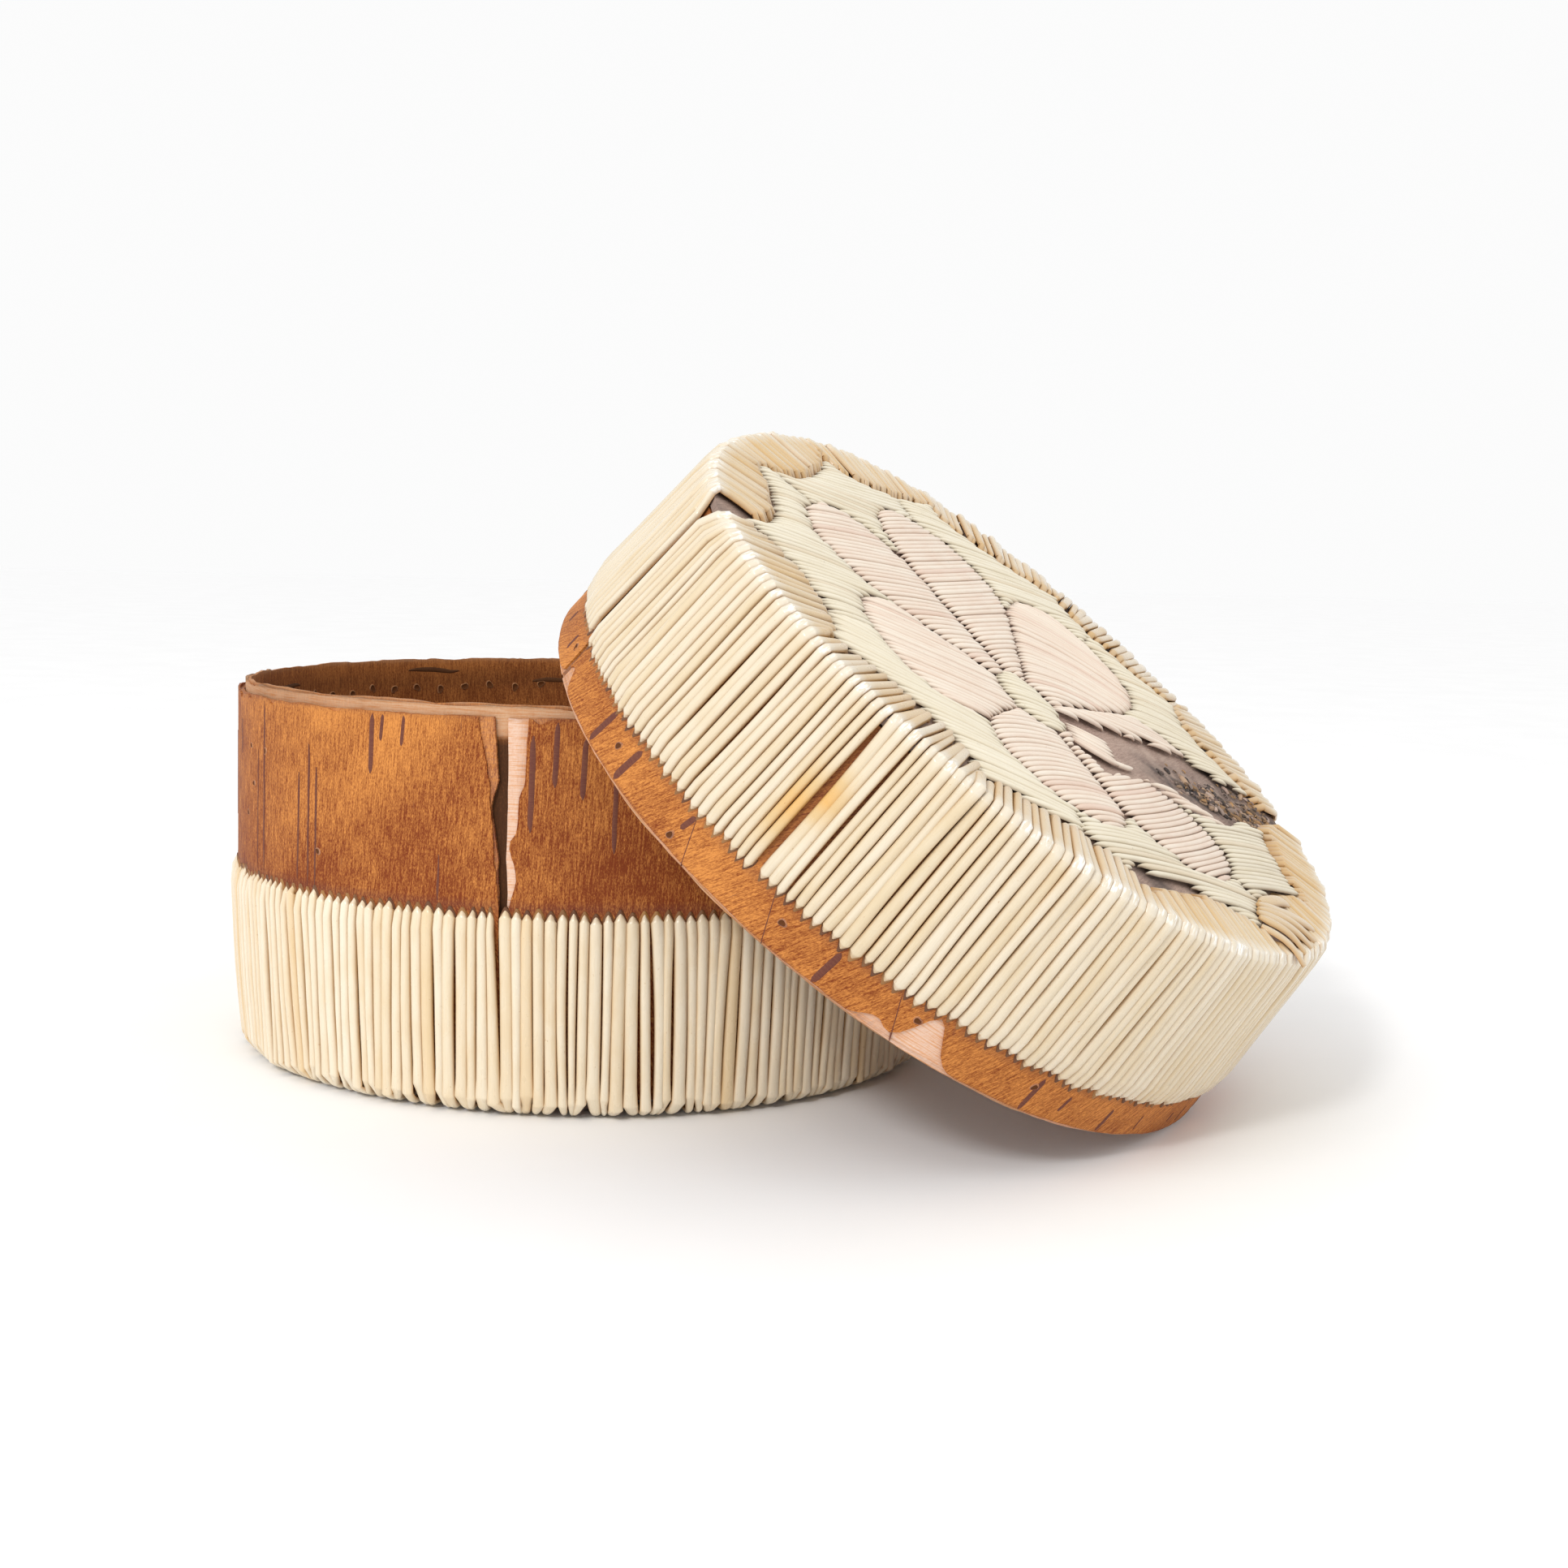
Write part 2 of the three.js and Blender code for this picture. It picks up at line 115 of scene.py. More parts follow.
def lid_frame():
    """The lid's own axes and origin: +X down the slope, +Z out of its top, the rim's edge on the ground."""
    tilt = math.radians(90 - LID_AXIS_RISE)
    turn = Matrix.Rotation(math.radians(-LID_AXIS_TURN), 3, "Z") @ Matrix.Rotation(tilt, 3, "Y")
    degrees = np.arange(-90, 91)
    down_slope = ring(RIM[0], degrees, 0, LID_WAVES)[:, 0]
    return np.array(turn), np.array([*LID_CENTRE, (down_slope * math.sin(tilt)).max()])


LID_TURN, LID_ORIGIN = lid_frame()

# ---- Chance that comes out the same each time ----


def dice(*key):
    return np.random.default_rng([ord(letter) for letter in "-".join(map(str, key))])


def ragged(places, step, depth, *key):
    """A broken line: a random height every step, joined by straight stretches."""
    heights = dice(*key).uniform(-depth, depth, 1024)
    scaled = np.asarray(places, float) / step
    cell = np.floor(scaled).astype(int)
    part = scaled - cell
    return heights[cell % 1024] * (1 - part) + heights[(cell + 1) % 1024] * part


def torn(places, depth, *key):
    """The line of a torn edge: long wanderings with small teeth on them."""
    return ragged(places, 5, depth, *key, "long") + ragged(places, 0.9, depth * 0.4, *key, "teeth")


def bell(offset, width):
    return np.exp(-((offset / width) ** 2))


# ---- Mesh building ----


class Skin:
    """Closed grids of quads with their wear and grain, gathered into one mesh.

    wear_and_shade is three masks for a point: tone, grime, and tan (on quills) or pale (on bark). Tone also
    carries painted shade down the quills' sides, and grime carries painted shade in creases, hollows and
    under things besides real grime. They run from 0 to 1, and past that for the special colours named above
    the materials.
    grain is the point's place in the material: millimetres along and across, and a number of its own.
    """

    def __init__(self):
        self.points = []
        self.faces = []
        self.wear_and_shade = []
        self.grain = []
        self.size = 0

    def gather(self, points, faces, wear_and_shade, grain):
        points = points.reshape(-1, 3)
        local = faces - self.size
        a, b, c, d = (points[local[:, k]] for k in range(4))
        volume = (a * np.cross(b, c)).sum() + (a * np.cross(c, d)).sum()
        self.faces.append(faces if volume > 0 else faces[:, ::-1])
        self.points.append(points)
        self.wear_and_shade.append(wear_and_shade.reshape(-1, 3))
        self.grain.append(grain.reshape(-1, 3))
        self.size += len(points)

    def tube(self, rings, wear_and_shade, grain):
        """rings[i, j] runs along the tube by i and round it by j. Rungs of quads close its ends."""
        along, around = rings.shape[:2]
        index = self.size + np.arange(along * around).reshape(along, around)
        beside = np.roll(index, -1, axis=1)
        sides = np.stack([index[:-1], beside[:-1], beside[1:], index[1:]], axis=-1).reshape(-1, 4)
        step = np.arange(around // 2 - 1)
        rung = np.stack([step, step + 1, around - 2 - step, around - 1 - step], axis=-1)
        faces = np.concatenate([sides, index[0][rung][:, ::-1], index[-1][rung]])
        self.gather(rings, faces, wear_and_shade, grain)

    def slab(self, low, high, wear_and_shade, grain):
        """Two square grids of points, one over the other, joined round their edges."""
        side = low.shape[0]
        under = self.size + np.arange(side * side).reshape(side, side)
        over = under + side * side
        squares = [
            np.stack([g[:-1, :-1], g[1:, :-1], g[1:, 1:], g[:-1, 1:]], axis=-1).reshape(-1, 4)
            for g in (under[:, ::-1], over)
        ]
        rims = []
        for low_edge, high_edge in zip(border(under), border(over)):
            rims.append(np.stack([low_edge[:-1], low_edge[1:], high_edge[1:], high_edge[:-1]], axis=-1))
        faces = np.concatenate([*squares, *rims])
        both = np.stack([low, high])
        self.gather(both, faces, np.stack([wear_and_shade, wear_and_shade]), np.stack([grain, grain]))


def border(grid):
    """A square grid's four edges, one after the other round it."""
    return [grid[:, 0], grid[-1, :], grid[::-1, -1], grid[0, ::-1]]


def make_piece(name, skin, body, node, slot):
    """The skin as one object that rides on a body, in place of a CAD node. The slot names its material."""
    points = np.concatenate(skin.points)
    if body == "lid":
        points = points @ LID_TURN.T + LID_ORIGIN
    mesh = bpy.data.meshes.new(name)
    mesh.from_pydata((points * MM).tolist(), [], np.concatenate(skin.faces).tolist())
    wear_and_shade = np.concatenate(skin.wear_and_shade)
    colour = mesh.attributes.new("wear_and_shade", "FLOAT_COLOR", "POINT")
    colour.data.foreach_set("color", np.column_stack([wear_and_shade, np.ones(len(wear_and_shade))]).astype(np.float32).ravel())
    grain = mesh.attributes.new("grain", "FLOAT_VECTOR", "POINT")
    grain.data.foreach_set("vector", np.concatenate(skin.grain).astype(np.float32).ravel())
    mesh.shade_smooth()
    mesh.set_sharp_from_angle(angle=math.radians(SHARP_EDGE))
    mesh.materials.append(MATERIALS[slot])
    piece = bpy.data.objects.new(name, mesh)
    bpy.context.scene.collection.objects.link(piece)
    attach(piece, body)
    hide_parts(node)


def unit(vectors):
    return vectors / np.maximum(np.linalg.norm(vectors, axis=-1, keepdims=True), 1e-9)


# A quill's section from its left side over its crest to its right side, then back underneath:
# parts of its half width and of its height.
CREST = np.linspace(0, math.pi, 10)
SECTION_ACROSS = np.concatenate([-np.cos(CREST), [0.62, -0.62]])
SECTION_UP = np.concatenate([np.sin(CREST) ** 0.66, [-0.18, -0.18]])
FLANK_SHADE = 0.5  # painted shade: the quills turn to their aged colour towards their sides
INSIDE_A_PROFILE = (40, 15)  # a radius and height that every profile passes outside


def add_quill(skin, crest, outward, width, height, tone, grime, tan, number, pinch=0.0, crease=0.8):
    """A flattened round quill whose crest follows a line. Every value may change along it.

    pinch, from 0 to 1, sharpens the crest to a ridge. crease is painted shade down its two sides, where it
    meets its neighbours. Grime above 1 paints the shade of a pricked hole.
    """
    count = len(crest)
    width, height, tone, grime, tan, pinch = (
        np.broadcast_to(value, count)[:, None] for value in (width, height, tone, grime, tan, pinch)
    )
    ahead = unit(np.gradient(crest, axis=0))
    across = unit(np.cross(ahead, outward))
    up = np.cross(across, ahead)
    rise = SECTION_UP * (1 - pinch * np.abs(SECTION_ACROSS)) - 1
    rings = (
        crest[:, None]
        + across[:, None] * (SECTION_ACROSS * width / 2)[..., None]
        + up[:, None] * (rise * height)[..., None]
    )
    length = np.concatenate([[0], np.cumsum(np.linalg.norm(np.diff(crest, axis=0), axis=1))])
    flank = np.clip(1 - SECTION_UP, 0, 1)
    # painted shade: the creases down both sides darken, on top of the grime
    shade = np.maximum(np.clip(grime + crease * flank**1.5, 0, 1), grime)
    # painted shade: the sides lean to the aged colour, as a round quill shades away from the light
    tone = tone + FLANK_SHADE * flank**0.8
    tone, shade, tan = np.broadcast_arrays(tone, shade, tan)
    wear_and_shade = np.stack([tone, shade, tan], axis=-1)
    lie = np.stack(np.broadcast_arrays(length[:, None], SECTION_ACROSS * width / 2, number), axis=-1)
    skin.tube(rings, wear_and_shade, lie)


def softened(profile, reach, longest):
    """Points along a broken line with its corners rounded, no two further apart than longest."""
    profile = np.asarray(profile, float)
    line = [profile[0]]
    for before, corner, after in zip(profile, profile[1:], profile[2:]):
        back, on = before - corner, after - corner
        near = corner + back * min(0.5, reach / np.linalg.norm(back))
        far = corner + on * min(0.5, reach / np.linalg.norm(on))
        for t in np.linspace(0, 1, 5):
            line.append((1 - t) ** 2 * near + 2 * t * (1 - t) * corner + t * t * far)
    line.append(profile[-1])
    points = [line[0]]
    for a, b in zip(line, line[1:]):
        parts = max(1, math.ceil(np.linalg.norm(b - a) / longest))
        points.extend(a + (b - a) * k / parts for k in range(1, parts + 1))
    return np.array(points)


def profile_outward(profile):
    """Unit normals of a profile of radius and height, to the side away from the piece's inside."""
    ahead = unit(np.gradient(profile, axis=0))
    normals = np.stack([-ahead[:, 1], ahead[:, 0]], axis=-1)
    return normals * np.sign(np.sum(normals * (profile - INSIDE_A_PROFILE)))


def bent_outward(normals, degrees):
    """Profile normals turned round the axis."""
    turn = np.radians(degrees)
    return np.stack([normals[:, 0] * np.cos(turn), normals[:, 0] * np.sin(turn), normals[:, 1]], axis=-1)


# ---- Materials ----

# Colours that a mask brings in when it goes past its usual 0 to 1.
PIT_SHADE = (0.11, 0.035, 0.008)  # grime above 1: the painted shade of a pricked hole
AMBER = (0.75, 0.36, 0.04)  # tan above 1, on quills: glue
CRUMB = (0.46, 0.27, 0.13)  # pale above 1, on bark: rubble
FOLD_HIGHLIGHT = (0.95, 0.93, 0.88)  # tone well below 0, on quills: a painted highlight in streaks where they are folded


class Graph:
    """A material's node tree, built one call at a time."""

    def __init__(self, name):
        self.material = bpy.data.materials.new(name)
        self.material.use_nodes = True
        self.tree = self.material.node_tree
        self.tree.nodes.clear()
        self.shader = self.add("ShaderNodeBsdfPrincipled")
        output = self.add("ShaderNodeOutputMaterial")
        self.tree.links.new(self.shader.outputs["BSDF"], output.inputs["Surface"])

    def add(self, kind, inputs=None, **settings):
        node = self.tree.nodes.new(kind)
        for name, value in settings.items():
            setattr(node, name, value)
        for name, value in (inputs or {}).items():
            self.put(node.inputs[name], value)
        return node

    def put(self, socket, value):
        if isinstance(value, bpy.types.NodeSocket):
            self.tree.links.new(value, socket)
        elif isinstance(value, tuple) and len(value) == 3 and socket.type == "RGBA":
            socket.default_value = (*value, 1)
        else:
            socket.default_value = value

    def attribute(self, name, output):
        return self.add("ShaderNodeAttribute", attribute_name=name).outputs[output]

    def masks(self):
        """The wear_and_shade attribute's three masks."""
        split = self.add("ShaderNodeSeparateColor", {"Color": self.attribute("wear_and_shade", "Color")})
        return split.outputs["Red"], split.outputs["Green"], split.outputs["Blue"]

    def stretched(self, vector, scale):
        node = self.add("ShaderNodeVectorMath", {0: vector, 1: scale}, operation="MULTIPLY")
        return node.outputs["Vector"]

    def noise(self, vector, detail=3.0, roughness=0.55):
        texture = self.add(
            "ShaderNodeTexNoise", {"Vector": vector, "Scale": 1.0, "Detail": detail, "Roughness": roughness}
        )
        return texture.outputs["Fac"]

    def between(self, value, low, high, to_low=0.0, to_high=1.0):
        node = self.add(
            "ShaderNodeMapRange",
            {"Value": value, "From Min": low, "From Max": high, "To Min": to_low, "To Max": to_high},
            interpolation_type="SMOOTHSTEP",
        )
        return node.outputs["Result"]

    def sum(self, *values):
        total = values[0]
        for value in values[1:]:
            total = self.add("ShaderNodeMath", {0: total, 1: value}, operation="ADD").outputs["Value"]
        return total

    def times(self, a, b):
        return self.add("ShaderNodeMath", {0: a, 1: b}, operation="MULTIPLY").outputs["Value"]

    def mix(self, factor, a, b):
        node = self.add("ShaderNodeMix", data_type="RGBA", clamp_factor=True)
        self.put(node.inputs[0], factor)
        self.put(node.inputs[6], a)
        self.put(node.inputs[7], b)
        return node.outputs[2]

    def bump(self, height, distance, strength, below=None):
        inputs = {"Height": height, "Distance": distance * MM, "Strength": strength}
        if below is not None:
            inputs["Normal"] = below
        return self.add("ShaderNodeBump", inputs).outputs["Normal"]

    def finish(self, colour, roughness, normal, **constants):
        self.put(self.shader.inputs["Base Color"], colour)
        self.put(self.shader.inputs["Roughness"], roughness)
        self.put(self.shader.inputs["Normal"], normal)
        for name, value in constants.items():
            self.shader.inputs[name.replace("_", " ")].default_value = value
        return self.material


def quill_material(name, fresh, aged, dust_and_shade, stain, roughness, coat):
    """Flattened quills: waxy and fibrous, aged by the quill, with dust and painted shade in the creases
    between them, and a painted highlight where they fold.
    """
    g = Graph(name)
    tone, grime, tan = g.masks()
    grain = g.attribute("grain", "Vector")
    fibres = g.noise(g.stretched(grain, (0.22, 7.0, 9.1)), detail=4)
    patches = g.noise(g.stretched(grain, (0.16, 0.5, 3.7)))
    specks = g.noise(g.stretched(grain, (1.9, 2.6, 5.3)), detail=2)
    streaks = g.noise(g.stretched(grain, (0.9, 2.8, 7.7)), detail=2)
    # the tone mask brings the painted shade of the quills' sides into this mix
    age_and_shade = g.sum(
        g.times(tone, 0.55), g.between(patches, 0.35, 0.75, 0, 0.4), g.between(fibres, 0.4, 0.8, 0, 0.3)
    )
    colour = g.mix(age_and_shade, fresh, aged)
    colour = g.mix(tan, colour, stain)
    colour = g.mix(g.between(tan, 1.0, 2.4, 0, 0.75), colour, AMBER)
    # painted highlight: white streaks where the quills fold over the lid's edge
    fold_highlight = g.times(g.between(tone, -1.6, -0.4, 1.0, 0.0), g.between(streaks, 0.44, 0.6))
    colour = g.mix(fold_highlight, colour, FOLD_HIGHLIGHT)
    colour = g.mix(g.between(specks, 0.7, 0.78, 0, 0.4), colour, dust_and_shade)
    # grime and the painted shade of the creases take the dust colour
    colour = g.mix(g.times(grime, g.between(patches, 0.2, 0.8, 0.75, 1.0)), colour, dust_and_shade)
    # painted shade of pricked holes
    colour = g.mix(g.between(grime, 1.0, 1.9), colour, PIT_SHADE)
    shine = g.sum(g.between(patches, 0.3, 0.7, roughness, roughness + 0.16), g.times(grime, 0.3))
    normal = g.bump(fibres, 0.012, 0.6)
    normal = g.bump(patches, 0.1, 0.5, normal)
    return g.finish(colour, shine, normal, Coat_Weight=coat, Coat_Roughness=0.2, Specular_IOR_Level=0.5)


def bark_material(name, light, dark, pale, scar, roughness):
    """Birch bark: fine fibres up the strip, clouds of tone, small scars, and its pale inner layer."""
    g = Graph(name)
    tone, grime, bare = g.masks()
    grain = g.attribute("grain", "Vector")
    fibres = g.noise(g.stretched(grain, (3.6, 0.36, 1.0)), detail=6, roughness=0.72)
    mottle = g.noise(g.stretched(grain, (3.6, 2.2, 1.0)), detail=5, roughness=0.75)
    grit = g.noise(g.stretched(grain, (9.0, 2.6, 1.0)), detail=3, roughness=0.7)
    clouds = g.noise(g.stretched(grain, (0.09, 0.07, 1.0)), detail=4)
    dashes = g.noise(g.stretched(grain, (1.6, 0.16, 1.0)), detail=2)
    shade = g.sum(
        g.times(tone, 0.7),
        g.between(clouds, 0.3, 0.7, -0.05, 0.3),
        g.between(fibres, 0.3, 0.7, -0.4, 0.4),
        g.between(mottle, 0.3, 0.7, -0.22, 0.22),
        g.between(grit, 0.3, 0.7, -0.32, 0.32),
    )
    colour = g.mix(shade, dark, light)
    colour = g.mix(g.between(dashes, 0.7, 0.76, 0, 0.45), colour, scar)
    layers = g.noise(g.stretched(grain, (0.22, 4.5, 1.0)), detail=5, roughness=0.7)
    inner = g.mix(g.between(mottle, 0.35, 0.7, 0, 0.3), pale, light)
    inner = g.mix(g.between(layers, 0.45, 0.62, 0, 0.6), inner, light)
    colour = g.mix(g.times(bare, g.between(fibres, 0.1, 0.5, 0.8, 1.0)), colour, inner)
    colour = g.mix(g.between(bare, 1.0, 1.9), colour, CRUMB)
    # grime, with painted shade along the quill line, under the quills and in the liner's gap, takes the scar
    # colour
    colour = g.mix(g.times(grime, g.between(mottle, 0.25, 0.55, 0.75, 1.0)), colour, scar)
    # painted shade of pricked holes
    colour = g.mix(g.between(grime, 1.0, 1.9), colour, PIT_SHADE)
    shine = g.sum(g.between(mottle, 0.3, 0.7, roughness, roughness + 0.14), g.times(bare, 0.2))
    normal = g.bump(fibres, 0.03, 0.7)
    normal = g.bump(clouds, 0.6, 0.3, normal)
    return g.finish(colour, shine, normal, Specular_IOR_Level=0.15)


# Fresh, aged, dust-and-painted-shade and stain colours, roughness, and wax coat.
QUILL_LOOKS = {
    "side_quill": (
        (0.82, 0.735, 0.58), (0.74, 0.59, 0.38), (0.46, 0.22, 0.05), (0.70, 0.47, 0.20), 0.2, 0.35,
    ),
    "edge_quill": (
        (0.75, 0.665, 0.525), (0.67, 0.54, 0.35), (0.44, 0.21, 0.05), (0.66, 0.46, 0.22), 0.18, 0.4,
    ),
    "ground_quill": (
        (0.88, 0.81, 0.65), (0.79, 0.70, 0.52), (0.27, 0.20, 0.14), (0.66, 0.50, 0.31), 0.45, 0.1,
    ),
    "petal_quill": (
        (0.90, 0.80, 0.67), (0.82, 0.65, 0.52), (0.29, 0.18, 0.13), (0.72, 0.47, 0.36), 0.45, 0.1,
    ),
}
# Light, dark, pale inner and scar colours, and roughness. The scar colour also paints the shade that grime
# carries.
BARK_LOOKS = {
    "wall_bark": ((0.65, 0.255, 0.06), (0.19, 0.036, 0.007), (0.78, 0.57, 0.45), (0.12, 0.042, 0.035), 0.55),
    "liner_bark": ((0.50, 0.19, 0.05), (0.17, 0.045, 0.010), (0.62, 0.40, 0.25), (0.05, 0.020, 0.008), 0.65),
    "bottom_bark": ((0.50, 0.36, 0.29), (0.26, 0.17, 0.14), (0.62, 0.49, 0.40), (0.06, 0.052, 0.05), 0.7),
}
MATERIALS = {name: quill_material(name, *look) for name, look in QUILL_LOOKS.items()}
MATERIALS.update({name: bark_material(name, *look) for name, look in BARK_LOOKS.items()})

# ---- Base quills ----

QUILLS_IN_BASE_GROUP = 18
QUILL_HEIGHT = 0.72
BROADEST = 1.72  # quills that stand further apart than this leave a gap
POINT_LENGTH = 1.5  # the quills narrow to their points over this much


def shared_out(count, low, high, spread, *key):
    """Borders between count quills of uneven width, from low to high."""
    widths = dice(*key).uniform(1 - spread, 1 + spread, count)
    return low + (high - low) * np.concatenate([[0], np.cumsum(widths)]) / widths.sum()


def pit_shade_sheet(skin, chance, radius, degrees, height, rise, share, waves, number):
    """A dark sheet under a quill's point, painted as the shade of the hole it goes into. rise is 1 where
    the hole opens upwards.
    """
    level = np.linspace(0.4, -1.9, 7)
    width = share * np.clip((0.5 - level) / 1.4, 0.06, 1) ** 0.7 + 0.12
    pit = ring(radius + 0.16, degrees, height + rise * level, waves)
    dark = chance.uniform(1.35, 1.9)
    add_quill(skin, pit, ring(1, degrees, 0 * level, []), width, 0.3, 0.5, dark, 0, number)


def side_profile(fold_height, shoulder):
    """A side quill's line of radius and height: out of the wall, down, and in under the bottom."""
    return softened(
        [
            (WALL_LINE[0] - 0.1, WALL_LINE[1] + 0.3),
            (WALL_LINE[0] + 0.72 + shoulder, WALL_LINE[1] - 0.8),
            QUILL_BULGE,
            QUILL_WAIST,
            (QUILL_FOOT[0] + 0.45, fold_height),
            (QUILL_FOOT[0] - 0.75, 0.35 + 0.12 * fold_height),
            (QUILL_FOOT[0] - 1.8, UNDERSIDE_LIFT),
            (TURNED_IN_RADIUS, UNDERSIDE_LIFT),
        ],
        0.3,
        3.0,
    )


def base_quill_group(group):
    """The side quills of one twelfth of the base, each between its own two borders."""
    skin = Skin()
    low = WALL_SEAM + group * TURN / BASE_GROUPS
    high = low + TURN / BASE_GROUPS
    heads = shared_out(QUILLS_IN_BASE_GROUP, low, high, 0.14, "base heads", group)
    feet = shared_out(QUILLS_IN_BASE_GROUP, low, high, 0.36, "base feet", group)
    if group == BASE_GROUPS - 1:
        heads[-3:] -= np.array([0.1, 0.35, 0.95])  # the quills part over the wall's open seam
    chance = dice("base quills", group)
    for k in range(QUILLS_IN_BASE_GROUP):
        fold_height = np.clip(chance.normal(2.1, 0.55), 1.2, 3.4)
        profile = side_profile(fold_height, chance.normal(0, 0.12))
        outward = profile_outward(profile)
        fall = np.clip((WALL_LINE[1] - profile[:, 1]) / WALL_LINE[1], 0, 1)
        fold = bell(profile[:, 1] - fold_height, 1.0)
        folded = np.clip((fold_height - profile[:, 1]) / fold_height, 0, 1)
        head, foot = (heads[k] + heads[k + 1]) / 2, (feet[k] + feet[k + 1]) / 2
        bow = chance.normal(0, 0.16)
        degrees = head + (foot - head) * fall + bow * np.sin(math.pi * fall)
        degrees = degrees + chance.normal(0, 0.75) * folded
        head_width, foot_width = heads[k + 1] - heads[k], feet[k + 1] - feet[k]
        share = np.radians(head_width + (foot_width - head_width) * fall) * profile[:, 0]
        share = np.minimum(share, BROADEST)
        from_point = (WALL_LINE[1] + 0.45 - profile[:, 1]) / POINT_LENGTH
        narrowing = np.clip(from_point, 0.05, 1) ** 0.7
        pointed = 1 - narrowing
        line = profile.copy()
        line[:, 1] += chance.normal(0, 0.18) * np.exp(-(WALL_LINE[1] - profile[:, 1]).clip(0) / 4)
        line[:, 0] += chance.normal(0, 0.1) * np.sin(math.pi * fall)
        crest = ring(line[:, 0], degrees, line[:, 1], BASE_WAVES)
        close = bell(head - 215, 24)  # the quills lie closest at the left of the front
        shrunk = chance.random() < 0.25 * (1 - close)
        fullness = chance.uniform(0.95, 1.06) - 0.14 * shrunk + 0.07 * close + 0.12 * fold - 0.16 * folded
        # The points darken where they go into the wall, dirt and painted shade, and crease paints shade down
        # the sides.
        add_quill(
            skin,
            crest,
            bent_outward(outward, degrees),
            share * fullness * narrowing,
            QUILL_HEIGHT * (0.5 + 0.5 * narrowing) * (1 - 0.3 * fold),
            chance.uniform(0, 1),
            0.4 * pointed**2,
            0.2 * pointed + 0.4 * (chance.random() < 0.08),
            chance.uniform(0, 500),
            pinch=0.6 * pointed,
            crease=0.95 - 0.55 * close,
        )
        # a dark sheet under the point: painted shade of its hole
        pit_shade_sheet(skin, chance, WALL_LINE[0], degrees[0], line[0, 1] - 0.3, 1, share[0], BASE_WAVES, head)
    name = f"base_quills_{group + 1}"
    make_piece(f"split_{name}", skin, "base", name, "side_quill")


for group in range(BASE_GROUPS):
    base_quill_group(group)

# ---- Bark strips ----


def crowded(count, ends):
    """Parts from 0 to 1, close together near both ends."""
    even = np.linspace(-1, 1, count)
    pulled = np.sign(even) * (1 - (1 - np.abs(even)) ** ends)
    return (pulled + 1) / 2


def bark_layer(skin, radius_at, starts, stops, lows, highs, thickness, waves, masks_at, columns, rows):
    """One layer of a bent strip. starts and stops give its ends' turns at a height, lows and highs
    its edges' heights at a turn, and radius_at its outer radius at a height and turn."""
    part = crowded(columns, 2.2)[:, None]
    level = crowded(rows, 1.5)[None, :]
    low_line, high_line = lows(np.array([0.0])).mean(), highs(np.array([0.0])).mean()
    height = low_line + (high_line - low_line) * level
    degrees = starts(height) + (stops(height) - starts(height)) * part
    height = lows(degrees) + (highs(degrees) - lows(degrees)) * level
    radius = radius_at(height, degrees)
    outer = ring(radius, degrees, height, waves)
    inner = ring(radius - thickness, degrees, height, waves)
    rings = np.concatenate([outer, inner[:, ::-1]], axis=1)
    wear_and_shade = masks_at(degrees, height)
    lie = np.stack(np.broadcast_arrays(np.radians(degrees) * radius, height, thickness * 10), axis=-1)
    skin.tube(rings, *(np.concatenate([face, face[:, ::-1]], axis=1) for face in (wear_and_shade, lie)))


def masks(*values):
    return np.stack(np.broadcast_arrays(*(np.clip(value, 0, 1) for value in values)), axis=-1)


def same(value):
    """A value that is the same at every place."""
    return lambda places: value + 0 * places


def strip_ends(seam, before, after):
    """The turns of a strip's two straight ends, on either side of its seam."""
    return same(seam + after), same(seam - before + TURN)


def through(*knots):
    """A line through (height, radius) knots."""
    heights, radii = np.array(sorted((height, radius) for radius, height in knots)).T
    return lambda height: np.interp(height, heights, radii)


def scar(skin, surface, waves, degrees, low, high, width, lean, proud=0.05):
    """A dark lenticel across the bark's grain, from one height to another."""
    level = np.linspace(low, high, 14)
    part = np.linspace(-1, 1, 14)
    turn = degrees + lean * part / 2 + ragged(level, 2.5, 0.05, "scar", degrees)
    crest = ring(surface(level, turn) + proud, turn, level, waves)
    outward = ring(1, turn, 0, [])
    blunt = np.clip(1 - np.abs(part) ** 7, 0.04, 1) ** 0.5
    add_quill(skin, crest, outward, 1.2 * width * blunt, 0.25, 0.35, 0.9, 0.0, degrees, crease=0.1)


def awl_hole(skin, bark_radius, degrees, height, waves, radius, side=1):
    """A pricked hole: a raised lip round a pit painted dark as its shade. side is -1 on the bark's inner
    face.
    """
    centre = ring(bark_radius, degrees, height, waves)
    outward = side * ring(1, degrees, 0, [])
    turn = np.linspace(0, 2 * math.pi, 12, endpoint=False)
    right = unit(np.cross(outward, UPWARD))
    up = np.cross(right, outward)
    uneven = 1 + 0.16 * np.sin(2 * turn + centre[0]) + 0.1 * np.sin(3 * turn + centre[1])
    circle = (np.outer(np.cos(turn), right) + np.outer(np.sin(turn), up)) * uneven[:, None] * radius
    steps = [(1.8, -0.2, 0.1), (1.55, 0.02, 0.2), (1.2, 0.12, 0.5), (0.95, 0.05, 2.0), (0.1, 0.02, 2.0)]
    rings = np.stack([centre + circle * reach + outward * lift for reach, lift, _ in steps])
    # the lip darkens inwards and the middle takes the painted shade of the hole
    wear_and_shade = np.stack([np.tile([0.6, dark, 0.3 * (dark < 1)], (12, 1)) for _, _, dark in steps])
    skin.tube(rings, wear_and_shade, rings)


# Base wall: an outer skin over a thicker core, each torn its own way along the open seam.

WALL_SKIN = 0.3
base_radius = through(WALL_FOOT, WALL_LINE, WALL_TOP)


